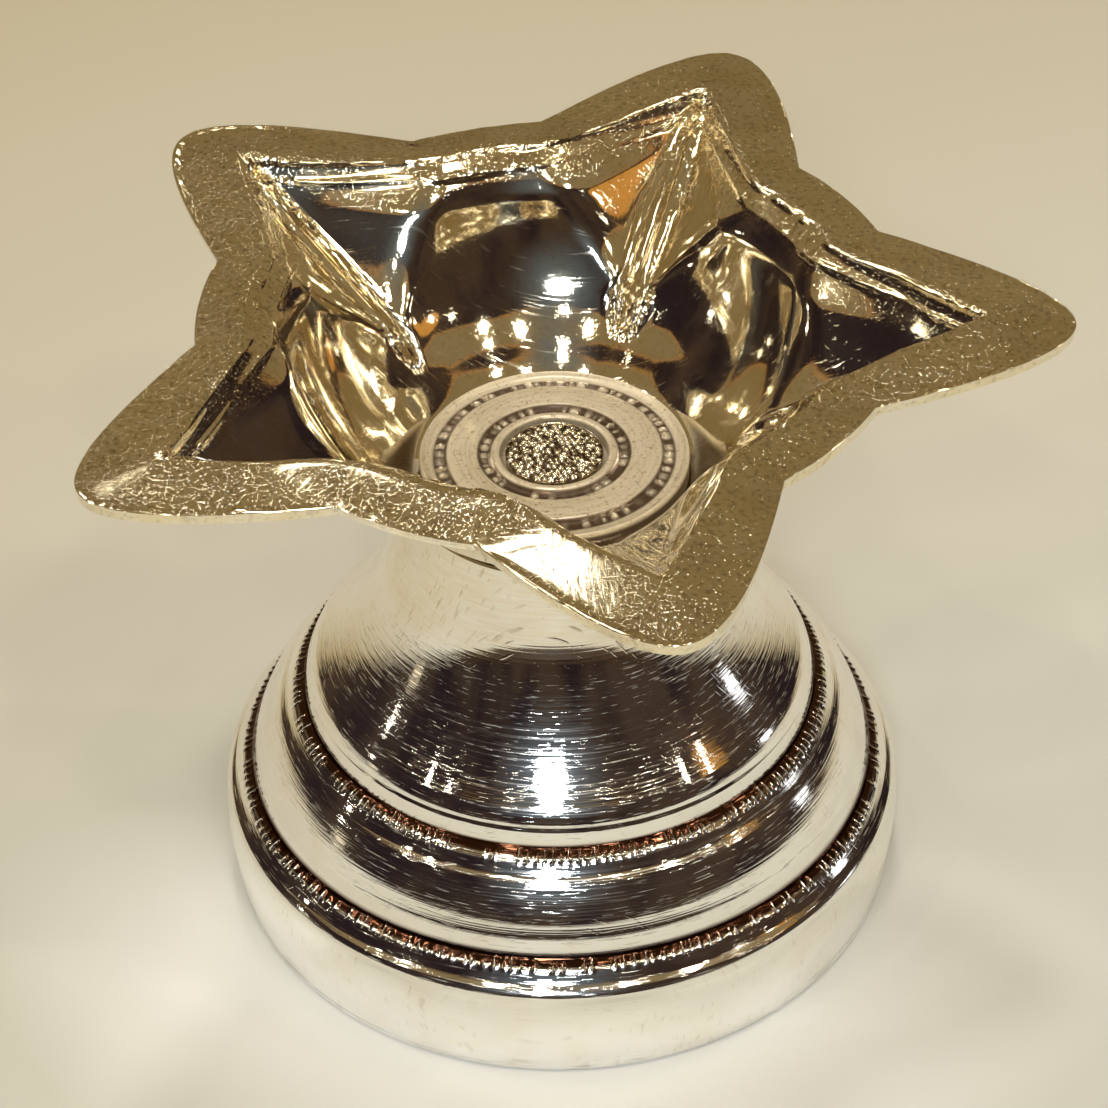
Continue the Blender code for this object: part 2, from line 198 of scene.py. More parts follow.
@dataclass
class Skin:
    """A closed skin of rows of points, which becomes one piece of the lamp.

    Attributes:
        name: Name of the piece.
        points: Rows, columns and coordinates. The columns run once round the axis.
        wear: How worn each point is, from 0 to 1.
        tarnish_and_painted_shade: How black each point is, from 0 to 1: tarnished hollows, and painted shade at the
            inner corners of the foot's ledges.
        looped: True if the last row joins the first. Otherwise each of them is a single point on the axis.
        sharp: Angle above which an edge is left sharp.
    """

    name: str
    points: np.ndarray
    wear: np.ndarray
    tarnish_and_painted_shade: np.ndarray
    looped: bool = True
    sharp: float = math.radians(50)

    def corners(self) -> tuple[list[list[tuple[int, int]]], np.ndarray]:
        """Faces of the skin.

        Returns:
            Each face as the row and column of its corners, and the share of the section's length at each row.
        """
        rows, columns = self.points.shape[:2]
        lengths = np.linalg.norm(np.diff(self.points, axis=0), axis=2).mean(axis=1)
        along = np.concatenate([[0.0], np.cumsum(lengths)])
        closing = np.linalg.norm(self.points[0] - self.points[-1], axis=1).mean() if self.looped else 0.0
        along = np.append(along, along[-1] + closing) / (along[-1] + closing)
        faces = []
        for i in range(rows if self.looped else rows - 1):
            for j in range(columns):
                face = [(i, j), (i, j + 1), (i + 1, j + 1), (i + 1, j)]
                if not self.looped and i == 0:
                    face = [(i, j), (i + 1, j + 1), (i + 1, j)]
                elif not self.looped and i == rows - 2:
                    face = [(i, j), (i, j + 1), (i + 1, j)]
                faces.append(face)
        return faces, along

    def build(self) -> bpy.types.Object:
        """Makes the mesh, its map for baking and its wear, and links it to the scene.

        Returns:
            The new object.
        """
        rows, columns = self.points.shape[:2]
        faces, along = self.corners()
        index = np.arange(rows * columns).reshape(rows, columns)
        if not self.looped:
            index[0, :], index[-1, :] = index[0, 0], index[-1, 0]
        kept, index = np.unique(index, return_inverse=True)
        index = index.reshape(rows, columns)
        points = self.points.reshape(-1, 3)[kept]
        polygons = [[int(index[i % rows, j % columns]) for i, j in face] for face in faces]
        fan = np.array([[face[0], face[k], face[k + 1]] for face in polygons for k in range(1, len(face) - 1)])
        if np.einsum("ij,ij->", points[fan[:, 0]], np.cross(points[fan[:, 1]], points[fan[:, 2]])) < 0:
            polygons = [face[::-1] for face in polygons]
            faces = [face[::-1] for face in faces]
        mesh = bpy.data.meshes.new(self.name)
        mesh.from_pydata(points.tolist(), [], polygons)
        places = [(j / columns, along[i]) for face in faces for i, j in face]
        bake_map = mesh.uv_layers.new(name=BAKE_MAP)
        bake_map.uv.foreach_set("vector", np.array(places, np.float32).ravel())
        for name, values in ((WEAR, self.wear), (TARNISH_AND_PAINTED_SHADE, self.tarnish_and_painted_shade)):
            layer = mesh.attributes.new(name, "FLOAT", "POINT")
            layer.data.foreach_set("value", values.reshape(-1)[kept].astype(np.float32))
        mesh.shade_smooth()
        mesh.set_sharp_from_angle(angle=self.sharp)
        piece = bpy.data.objects.new(self.name, mesh)
        bpy.context.scene.collection.objects.link(piece)
        return piece


def full_turn(columns: int) -> np.ndarray:
    """Evenly spaced angles of one turn.

    Args:
        columns: Number of angles.

    Returns:
        The angles, without the one that closes the turn.
    """
    return np.linspace(0.0, 2 * math.pi, columns, endpoint=False)


def turned(profile: np.ndarray, angles: np.ndarray) -> np.ndarray:
    """Turns a half section about the axis.

    Args:
        profile: Radius and height of each point of the section.
        angles: Angle of each column.

    Returns:
        Rows, columns and coordinates of the turned points.
    """
    radius, height = profile[:, :1], profile[:, 1:]
    return np.stack([radius * np.cos(angles), radius * np.sin(angles), height + 0 * angles], axis=2)


def outward(points: np.ndarray) -> np.ndarray:
    """Unit normals of an open grid of points whose columns run round the axis.

    Args:
        points: Rows, columns and coordinates, from the axis outwards over an upper face.

    Returns:
        The normal at each point, on the upper side.
    """
    along = np.gradient(points, axis=0)
    around = np.roll(points, -1, axis=1) - np.roll(points, 1, axis=1)
    normals = np.cross(along, around)
    normals *= np.sign(normals[:1, :1, 2:])
    return normals / np.maximum(np.linalg.norm(normals, axis=2, keepdims=True), 1e-12)


class Graph:
    """Short calls to lay out the nodes of one material or world."""

    def __init__(self, tree: bpy.types.NodeTree) -> None:
        """Takes the tree that the nodes go into.

        Args:
            tree: Node tree of a material or a world.
        """
        self.tree = tree

    def add(self, kind: str, inputs: dict | None = None, **settings: object) -> bpy.types.Node:
        """Adds a node.

        Args:
            kind: Blender's name of the node, without ShaderNode.
            inputs: What goes into its sockets, by name or number: a socket to link, or a plain value.
            settings: Properties of the node.

        Returns:
            The new node.
        """
        node = self.tree.nodes.new("ShaderNode" + kind)
        for name, value in settings.items():
            setattr(node, name, value)
        for key, value in (inputs or {}).items():
            if isinstance(value, Socket):
                self.tree.links.new(value, node.inputs[key])
            else:
                node.inputs[key].default_value = value
        return node

    def math(self, operation: str, *values: object) -> Socket:
        """Result of a sum on sockets or numbers.

        Args:
            operation: Blender's name of the operation.
            values: Its inputs, in order.

        Returns:
            The result's socket.
        """
        return self.add("Math", dict(enumerate(values)), operation=operation).outputs[0]

    def plus(self, a: object, b: object) -> Socket:
        """Sum of two sockets or numbers."""
        return self.math("ADD", a, b)

    def times(self, a: object, b: object) -> Socket:
        """Product of two sockets or numbers."""
        return self.math("MULTIPLY", a, b)

    def noise(self, vector: Socket, scale: float, detail: float = 2.0) -> Socket:
        """Noise, from about 0.2 to 0.8.

        Args:
            vector: Where it is read.
            scale: How fine it is.
            detail: How many finer layers it has.

        Returns:
            The noise's socket.
        """
        return self.add("TexNoise", {"Vector": vector, "Scale": scale, "Detail": detail}).outputs[0]

    def span(self, value: object, low: float, high: float, start: float = 0.0, end: float = 1.0) -> Socket:
        """Maps a range of a value to another range, and clamps it.

        Args:
            value: Socket to map.
            low: Value that gives start.
            high: Value that gives end.
            start: Result at low.
            end: Result at high.

        Returns:
            The result's socket.
        """
        inputs = {"Value": value, "From Min": low, "From Max": high, "To Min": start, "To Max": end}
        return self.add("MapRange", inputs, clamp=True).outputs[0]

    def blend(self, share: object, a: object, b: object) -> Socket:
        """Colour between two colours.

        Args:
            share: How far the colour is from a to b.
            a: First colour.
            b: Second colour.

        Returns:
            The colour's socket.
        """
        node = self.add("Mix", data_type="RGBA")
        for key, value in ((0, share), (6, a), (7, b)):
            if isinstance(value, Socket):
                self.tree.links.new(value, node.inputs[key])
            else:
                node.inputs[key].default_value = (*value, 1.0) if isinstance(value, tuple) else value
        return node.outputs[2]

    def bump(self, height: Socket, depth: float, normal: object = None) -> Socket:
        """Bump of a height map.

        Args:
            height: Height, from 0 to 1.
            depth: Depth of the map in metres.
            normal: Normal that the bump is added to.

        Returns:
            The normal's socket.
        """
        inputs = {"Height": height, "Distance": depth, "Strength": 1.0}
        if normal is not None:
            inputs["Normal"] = normal
        return self.add("Bump", inputs).outputs[0]


class Pattern(Enum):
    """The marks that a way of working leaves in the metal."""

    SPUN = "spun"
    PRESSED = "pressed"
    SATIN = "satin"
    PEENED = "peened"


@dataclass(frozen=True)
class Finish:
    """One finish of the silver.

    Attributes:
        slot: Material slot of the record that it belongs to.
        pattern: Marks of the way it was worked.
        silver: Colour of the clean metal.
        patina: Colour of the metal in clouded and worn places.
        black: Colour of tarnished hollows, and of the painted shade at the inner corners of the foot's ledges.
        polish: Roughness where it is cleanest.
        dullness: Roughness that the marks add.
        metal: How much of it shines as metal; the rest is frosted white.
    """

    slot: str
    pattern: Pattern
    silver: Colour
    patina: Colour
    black: Colour
    polish: float
    dullness: float
    metal: float = 1.0

    def material(self) -> bpy.types.Material:
        """Makes the material.

        Returns:
            The new material, with its marks in colour, roughness and bump.
        """
        material = bpy.data.materials.new(self.slot + "_" + self.pattern.value)
        material.use_nodes = True
        graph = Graph(material.node_tree)
        shader = material.node_tree.nodes["Principled BSDF"]
        shader.inputs["Metallic"].default_value = self.metal
        place = graph.add("TexCoord").outputs["Object"]
        place = graph.add("VectorMath", {0: place, 3: 1 / MILLIMETRE}, operation="SCALE").outputs[0]
        worn = graph.add("Attribute", attribute_name=WEAR).outputs["Fac"]
        marks = {
            Pattern.SPUN: self.spun,
            Pattern.PRESSED: self.pressed,
            Pattern.SATIN: self.satin,
            Pattern.PEENED: self.peened,
        }
        dirt, grime, dull, normal = marks[self.pattern](graph, place, worn)
        # Blackens tarnished hollows, grime, and the painted shade at the inner corners of the foot's ledges.
        tarnish_and_painted_shade = graph.add("Attribute", attribute_name=TARNISH_AND_PAINTED_SHADE).outputs["Fac"]
        tarnish_and_painted_shade = graph.math("MAXIMUM", tarnish_and_painted_shade, grime)
        colour = graph.blend(tarnish_and_painted_shade, graph.blend(dirt, self.silver, self.patina), self.black)
        graph.tree.links.new(colour, shader.inputs["Base Color"])
        rough = graph.span(dull, 0.0, 1.0, self.polish, self.polish + self.dullness)
        graph.tree.links.new(rough, shader.inputs["Roughness"])
        graph.tree.links.new(normal, shader.inputs["Normal"])
        return material

    @staticmethod
    def round_place(graph: Graph, place: Socket, around: float, along: float, outwards: float = 1.0) -> Socket:
        """Place to read noise at, so that it has its own scale round the axis and along the section.

        Args:
            graph: Nodes of the material.
            place: Object coordinates in millimetres.
            around: Scale round the axis.
            along: Scale along the section.
            outwards: 1 if the section rises outwards, and -1 if it falls outwards.

        Returns:
            The place's socket.
        """
        x, y, z = graph.add("SeparateXYZ", {0: place}).outputs
        radius = graph.math("SQRT", graph.plus(graph.times(x, x), graph.times(y, y)))
        radius = graph.math("MAXIMUM", radius, 0.01)
        level = graph.plus(graph.times(z, along), graph.times(radius, outwards * along))
        east = graph.times(graph.math("DIVIDE", x, radius), around)
        north = graph.times(graph.math("DIVIDE", y, radius), around)
        return graph.add("CombineXYZ", {0: east, 1: north, 2: level}).outputs[0]

    @staticmethod
    def scratches(graph: Graph, place: Socket, turns: tuple[float, ...]) -> Socket:
        """Fine straight scratches in a few directions.

        Args:
            graph: Nodes of the material.
            place: Object coordinates in millimetres.
            turns: Angle of each set of scratches about the axis.

        Returns:
            Socket that is 1 in a scratch and 0 beside it.
        """
        found: Socket | None = None
        for turn in turns:
            inputs = {"Vector": place, "Rotation": (0.5 * turn, 0.3, turn), "Scale": (0.30, 9.0, 1.1)}
            lines = graph.noise(graph.add("Mapping", inputs).outputs[0], 1.0, 0.0)
            lines = graph.span(lines, 0.73, 0.80)
            found = lines if found is None else graph.math("MAXIMUM", found, lines)
        return found

    def spun(self, graph: Graph, place: Socket, worn: Socket) -> tuple[Socket, ...]:
        """Fine turning lines, short dashes of polishing, and a scuffed, cloudy neck.

        Args:
            graph: Nodes of the material.
            place: Object coordinates in millimetres.
            worn: Wear of the mesh.

        Returns:
            Sockets of the dirt, the black grime, the dullness and the normal.
        """
        lines = graph.noise(self.round_place(graph, place, 0.35, 5.5, -1.0), 1.0, 2.0)
        lines = graph.times(lines, graph.span(worn, 0.0, 0.5, 1.0, 0.25))
        dashes = graph.noise(self.round_place(graph, place, 11.0, 9.0, -1.0), 1.0, 1.0)
        dashes = graph.times(graph.span(dashes, 0.60, 0.74), graph.span(worn, 0.0, 0.5, 1.0, 0.0))
        clouds = graph.noise(place, 0.35, 4.0)
        pits = graph.span(graph.noise(place, 6.0, 2.0), 0.71, 0.78)
        pits = graph.math("MAXIMUM", pits, self.scratches(graph, place, (0.3, 1.2, 2.4)))
        pits = graph.times(pits, graph.span(worn, 0.0, 0.5, 0.45, 1.0))
        brushed = graph.times(worn, graph.noise(self.round_place(graph, place, 5.0, 5.0, -1.0), 1.0, 3.0))
        dull = graph.plus(graph.times(dashes, 0.55), graph.span(clouds, 0.35, 0.7, 0.0, 0.12))
        dull = graph.plus(dull, graph.span(worn, 0.5, 0.65))
        dull = graph.plus(dull, graph.span(lines, 0.50, 0.75, 0.0, 0.45))
        dirt = graph.plus(graph.span(clouds, 0.45, 0.75, 0.0, 0.35), graph.times(pits, 0.25))
        dirt = graph.plus(dirt, graph.span(brushed, 0.10, 0.35, 0.0, 0.8))
        grime = graph.times(pits, graph.span(clouds, 0.40, 0.60, 0.0, 0.30))
        normal = graph.bump(lines, 9.0e-6)
        normal = graph.bump(dashes, 3.0e-6, normal)
        normal = graph.bump(pits, 3.0e-6, normal)
        normal = graph.bump(brushed, 1.2e-6, normal)
        return dirt, grime, dull, normal

    def pressed(self, graph: Graph, place: Socket, worn: Socket) -> tuple[Socket, ...]:
        """A mirror wall with stray scratches, and a flange that the press left grainy.

        Args:
            graph: Nodes of the material.
            place: Object coordinates in millimetres.
            worn: Wear of the mesh, which is highest on the flange.

        Returns:
            Sockets of the dirt, the black grime, the dullness and the normal.
        """
        specks = graph.span(graph.noise(place, 6.5, 2.0), 0.60, 0.72)
        gullies = graph.span(graph.noise(place, 3.5, 4.0), 0.50, 0.30)
        ribs = graph.span(graph.noise(self.round_place(graph, place, 66.0, 0.7), 1.0, 2.0), 0.5, 0.75)
        patches = graph.span(graph.noise(place, 0.45, 3.0), 0.40, 0.62)
        grain = graph.plus(specks, graph.times(ribs, graph.times(patches, 0.8)))
        grain = graph.times(grain, graph.span(worn, 0.0, 1.0, 0.12, 1.0))
        scratches = self.scratches(graph, place, (0.4, -0.7, 1.9))
        scratches = graph.times(scratches, graph.span(graph.noise(place, 0.8, 1.0), 0.4, 0.65))
        dull = graph.plus(graph.times(grain, 0.25), graph.times(scratches, 0.4))
        dull = graph.plus(dull, graph.times(worn, graph.span(patches, 0.0, 1.0, 0.05, 0.22)))
        dirt = graph.plus(graph.times(worn, 0.4), graph.times(patches, 0.4))
        stains = graph.span(graph.noise(place, 0.22, 4.0), 0.48, 0.64, 0.0, 0.30)
        grime = graph.times(graph.plus(gullies, stains), graph.span(worn, 0.0, 1.0, 0.10, 0.34))
        normal = graph.bump(grain, 6.2e-6)
        normal = graph.bump(scratches, 1.6e-6, normal)
        return dirt, grime, dull, normal

    def satin(self, graph: Graph, place: Socket, worn: Socket) -> tuple[Socket, ...]:
        """Rings left by the tool, pits, and dirt in the grooves.

        Args:
            graph: Nodes of the material.
            place: Object coordinates in millimetres.
            worn: Wear of the mesh, which is highest where it is rubbed bright.

        Returns:
            Sockets of the dirt, the black grime, the dullness and the normal.
        """
        rings = graph.noise(self.round_place(graph, place, 3.0, 7.0), 1.0, 3.0)
        pits = graph.span(graph.noise(place, 5.0, 2.0), 0.56, 0.72)
        dull = graph.plus(graph.times(rings, 0.7), graph.times(worn, -0.6))
        dirt = graph.plus(graph.span(rings, 0.45, 0.72, 0.0, 0.6), graph.times(pits, 0.9))
        grime = graph.times(pits, graph.span(rings, 0.45, 0.60, 0.0, 0.35))
        normal = graph.bump(rings, 12e-6)
        normal = graph.bump(pits, 9e-6, normal)
        return dirt, grime, dull, normal

    def peened(self, graph: Graph, place: Socket, worn: Socket) -> tuple[Socket, ...]:
        """Bright hammered tops with a fine grain.

        Args:
            graph: Nodes of the material.
            place: Object coordinates in millimetres.
            worn: Wear of the mesh, which is highest on the tops.

        Returns:
            Sockets of the dirt, the black grime, the dullness and the normal.
        """
        grain = graph.noise(place, 6.0, 2.0)
        dirt = graph.math("SUBTRACT", graph.span(grain, 0.4, 0.7), worn)
        dull = graph.math("SUBTRACT", grain, graph.times(worn, 0.5))
        grime = graph.times(graph.span(grain, 0.55, 0.42), graph.span(worn, 0.5, 0.0, 0.0, 0.7))
        return dirt, grime, dull, graph.bump(grain, 6e-6)


# The spun finish's black colours the painted shade at the inner corners of the ledges, and the grime in pits.
SPUN_SILVER = Finish(
    "spun_silver", Pattern.SPUN, (0.96, 0.95, 0.92), (0.86, 0.78, 0.62), (0.085, 0.038, 0.024), 0.03, 0.36
)
PRESSED_SILVER = Finish(
    "pressed_silver", Pattern.PRESSED, (0.95, 0.90, 0.77), (0.88, 0.77, 0.51), (0.16, 0.09, 0.04), 0.05, 0.30
)
SATIN_SILVER = Finish(
    "satin_silver", Pattern.SATIN, (0.62, 0.55, 0.43), (0.42, 0.34, 0.22), (0.07, 0.04, 0.02), 0.26, 0.25, 0.45
)
PEENED_SILVER = Finish(
    "peened_silver", Pattern.PEENED, (0.95, 0.90, 0.76), (0.62, 0.48, 0.22), (0.07, 0.04, 0.02), 0.10, 0.20
)


def put(piece: bpy.types.Object, node: str, finish: Finish) -> bpy.types.Object:
    """Dresses a piece and puts it in the place of its solid.

    Args:
        piece: The piece.
        node: Name of the solid that it stands for.
        finish: Finish that it gets.

    Returns:
        The piece.
    """
    piece.data.materials.append(finish.material())
    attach(piece, BODY)
    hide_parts(node)
    LOG.info("%s: %d faces, finish %s", piece.name, len(piece.data.polygons), finish.slot)
    return piece


@dataclass
class FootShell:
    """The spun foot: a base, a tier and a bell that sweeps up into the neck, open below."""

    radius: float = 0.0200
    height: float = 0.0270
    wall: float = 0.0010
    belly: float = 0.02035
    belly_height: float = 0.0042
    band_top: float = 0.0202
    base_round: float = 0.00165
    base_lean: float = math.radians(8)
    base_slope: float = math.radians(46)
    tier_corner: Point = (0.01846, 0.00795)
    tier_round: float = 0.0093
    bell_corner: Point = (0.01504, 0.0132)
    bell_round: float = 0.0036
    bell_lean: float = math.radians(5)
    neck_radius: float = 0.00845
    neck_over: float = 0.0018
    hole_radius: float = 0.0018
    edge_round: float = 0.00025
    tick_places: int = 208
    tick_columns: int = 4
    tick_half: float = 0.00005
    lip_at: float = 0.00078
    lip_pitch: float = 0.00165
    lip_height: float = 0.00004
    corner_width: float = 0.00045
    corner_depth: float = 0.00002
    tick_height: float = 0.00015
    bell_ledge: Point = (0.0102, 0.0140)
    ring_depth: float = 0.000007
    ring_from: float = 0.0005
    groove_depth: float = 0.00005
    groove_width: float = 0.00009
    groove_levels: tuple[float, ...] = (0.00937, 0.0143)
    matte_from: float = 0.0205
    matte_to: float = 0.0222
    collar: float = 0.0004
    collar_width: float = 0.0011

    def side(self, inset: float, fine: int) -> list[Point]:
        """Half section of the side, from the bottom edge to the top of the neck.

        Args:
            inset: How far the section is drawn in.
            fine: Steps in each curve.

        Returns:
            Radius and height of each point.
        """
        down = (math.sin(self.base_slope), -math.cos(self.base_slope))
        out = (math.cos(self.base_slope), math.sin(self.base_slope))
        reach = self.band_top - self.base_round * (math.cos(self.base_lean) - out[0]) - self.tier_corner[0]
        length = reach / down[0]
        base_centre = [self.tier_corner[k] + down[k] * length - out[k] * self.base_round for k in (0, 1)]
        tier_centre = arc_centre(self.tier_corner, self.bell_corner, self.tier_round)
        tier_start, tier_end = bearing(tier_centre, self.tier_corner), bearing(tier_centre, self.bell_corner)
        lean = arc((0.0, 0.0), self.bell_round, [self.bell_lean])[0]
        bell_centre = (self.bell_corner[0] - lean[0], self.bell_corner[1] - lean[1])
        climb, back = self.height + self.neck_over - bell_centre[1], self.neck_radius - bell_centre[0]
        sweep = (back**2 + climb**2 - self.bell_round**2) / (2 * (self.bell_round - back))
        sweep_centre = (self.neck_radius + sweep, self.height + self.neck_over)
        bell_end = bearing(bell_centre, sweep_centre)

        band = [(self.radius, self.edge_round), (self.belly, self.belly_height)]
        side = [(self.radius - self.edge_round, 0.0)]
        side += [mix(*band, share) for share in even(0.0, 1.0, max(2, fine // 4))]
        side = [(radius - inset, level) for radius, level in side]
        side += arc(base_centre, self.base_round - inset, even(self.base_lean, self.base_slope, fine // 2 + 2))
        slope = arc(base_centre, self.base_round - inset, [self.base_slope])[0]
        corner = arc(self.tier_corner, -inset, [self.base_slope])[0]
        side += [mix(slope, corner, share) for share in even(0.0, 1.0, fine)[1:]]
        shares = [1 - (1 - share) ** 1.5 for share in even(0.0, 1.0, 2 * fine + fine // 2)]
        turns = [tier_start + (tier_end - tier_start) * share for share in shares]
        side += arc(tier_centre, self.tier_round - inset, turns)
        side += arc(bell_centre, self.bell_round - inset, even(self.bell_lean, bell_end, fine + fine // 2))
        neck_end = math.asin((self.neck_over - self.collar) / (sweep + inset))
        angles = even(math.pi + bell_end, math.pi + neck_end, fine)
        side += arc(sweep_centre, sweep + inset, angles)
        return [b for a, b in zip([(0.0, 0.0), *side], side) if math.dist(a, b) > 1e-6]

    def from_corner(self, points: np.ndarray) -> np.ndarray:
        """How far each point of the outer face is out from the inner corner above it.

        Args:
            points: Radius and height of the points, on the last axis.

        Returns:
            The distance, which is a large number off the ledges.
        """
        away = np.full(points.shape[:-1], 1.0)
        for corner in (self.tier_corner, self.bell_corner):
            ledge = (points[..., 1] <= corner[1] + 1e-7) & (points[..., 0] >= corner[0] - 1e-7)
            away = np.where(ledge, np.minimum(away, np.linalg.norm(points - np.array(corner), axis=-1)), away)
        return away

    def outside(self) -> np.ndarray:
        """Half section of the outer face, with its turning rings, fine grooves and lipped ledges.

        Returns:
            Radius and height of each point, from the bottom up.
        """
        draw = np.random.default_rng(11)
        points = np.array(self.side(0.0, 12))
        along = np.gradient(points, axis=0)
        normal = np.column_stack([along[:, 1], -along[:, 0]])
        normal /= np.linalg.norm(normal, axis=1, keepdims=True)
        away = self.from_corner(points)
        turn = 2 * math.pi * (away - self.lip_at) / self.lip_pitch
        lip = self.lip_height * np.cos(turn) * (1 - fade(1.2 * self.lip_pitch, 1.6 * self.lip_pitch, away))
        lip *= fade(0.0, 0.2 * self.lip_pitch, away)
        ring = self.ring_depth * draw.uniform(-1.0, 1.0, len(points)) * (points[:, 1] > self.ring_from)
        near = [np.exp(-(((points[:, 1] - at) / self.groove_width) ** 2)) for at in self.groove_levels]
        points += normal * (lip + ring - self.groove_depth * np.max(near, axis=0))[:, None]
        points[:, 1] -= self.corner_depth * np.clip(1 - away / self.corner_width, 0.0, 1.0)
        return points

    def angles(self) -> np.ndarray:
        """Angles of the columns: four for each place where the tool may have left a tick.

        Returns:
            The angles in a turn.
        """
        draw = np.random.default_rng(23)
        places = np.arange(self.tick_places) + draw.uniform(-0.25, 0.25, self.tick_places)
        peaks = 2 * math.pi / self.tick_places * places
        gaps = 0.5 * (peaks + np.append(peaks[1:], peaks[0] + 2 * math.pi))
        half = self.tick_half / self.bell_corner[0]
        return np.stack([peaks - half, peaks, peaks + half, gaps], axis=1).ravel()

    def ticks(self, points: np.ndarray) -> np.ndarray:
        """How far the chatter of the tool lifts each point of the ledges.

        Args:
            points: Rows, columns and coordinates of the foot.

        Returns:
            The lift at each point: ridges that taper from the lip to the corner.
        """
        draw = np.random.default_rng(5)
        section = np.stack([np.hypot(points[..., 0], points[..., 1]), points[..., 2]], axis=-1)
        away = self.from_corner(section)
        lift = np.zeros(away.shape)
        tier_ledge = (0.0, 0.5 * (self.tier_corner[1] + self.bell_corner[1]))
        for low, high in (tier_ledge, self.bell_ledge):
            here = (section[..., 1] > low) & (section[..., 1] <= high)
            for column in range(1, self.tick_columns * self.tick_places, self.tick_columns):
                reach = self.lip_at * draw.uniform(0.45, 1.05)
                shape = np.clip(1 - (self.lip_at - away[:, column]) / reach, 0.0, 1.0)
                shape *= 1 - fade(self.lip_at, 1.25 * self.lip_at, away[:, column])
                tall = self.tick_height * draw.uniform(0.35, 1.0) * (draw.random() > 0.12)
                lift[:, column] = tall * shape * here[:, column] + lift[:, column]
        return lift

    def build(self) -> bpy.types.Object:
        """Makes the piece.

        Returns:
            The foot.
        """
        outside = [tuple(point) for point in self.outside()]
        ceiling = self.height - self.wall
        inside = [point for point in self.side(self.wall, 2) if point[1] < ceiling]
        disc = [(self.neck_radius - self.wall, ceiling), (self.hole_radius, ceiling)]
        rim = (self.neck_radius - self.collar_width, self.height)
        top = subdivided([(self.hole_radius, self.height), rim], 0.003)
        top.append((self.neck_radius - 0.5 * self.collar_width, self.height + 0.2 * self.collar))
        profile = np.array(top + outside[::-1] + inside + disc)
        angles = self.angles()
        points = turned(profile, angles)
        lift = self.ticks(points)
        lift[: len(top)] = lift[len(top) + len(outside) :] = 0.0
        rising = np.column_stack([0.6 * np.cos(angles), 0.6 * np.sin(angles), 0.8 + 0 * angles])
        section = np.stack([np.hypot(points[..., 0], points[..., 1]), points[..., 2]], axis=-1)
        away = self.from_corner(section)
        points += lift[..., None] * rising
        bright = np.clip(2 * lift / self.tick_height, 0.0, 1.0)
        wear = np.maximum(0.5 * fade(self.matte_from, self.matte_to, points[..., 2]), bright)
        # Painted shade: a dark band is painted along the inner corner of each ledge, standing in for the dark
        # reflection there; the ticks are kept clear of it.
        tarnish_and_painted_shade = (1 - fade(0.75 * self.lip_at, 1.0 * self.lip_at, away)) * (1 - bright)
        return put(Skin("silver_foot", points, wear, tarnish_and_painted_shade).build(), "foot_shell", SPUN_SILVER)


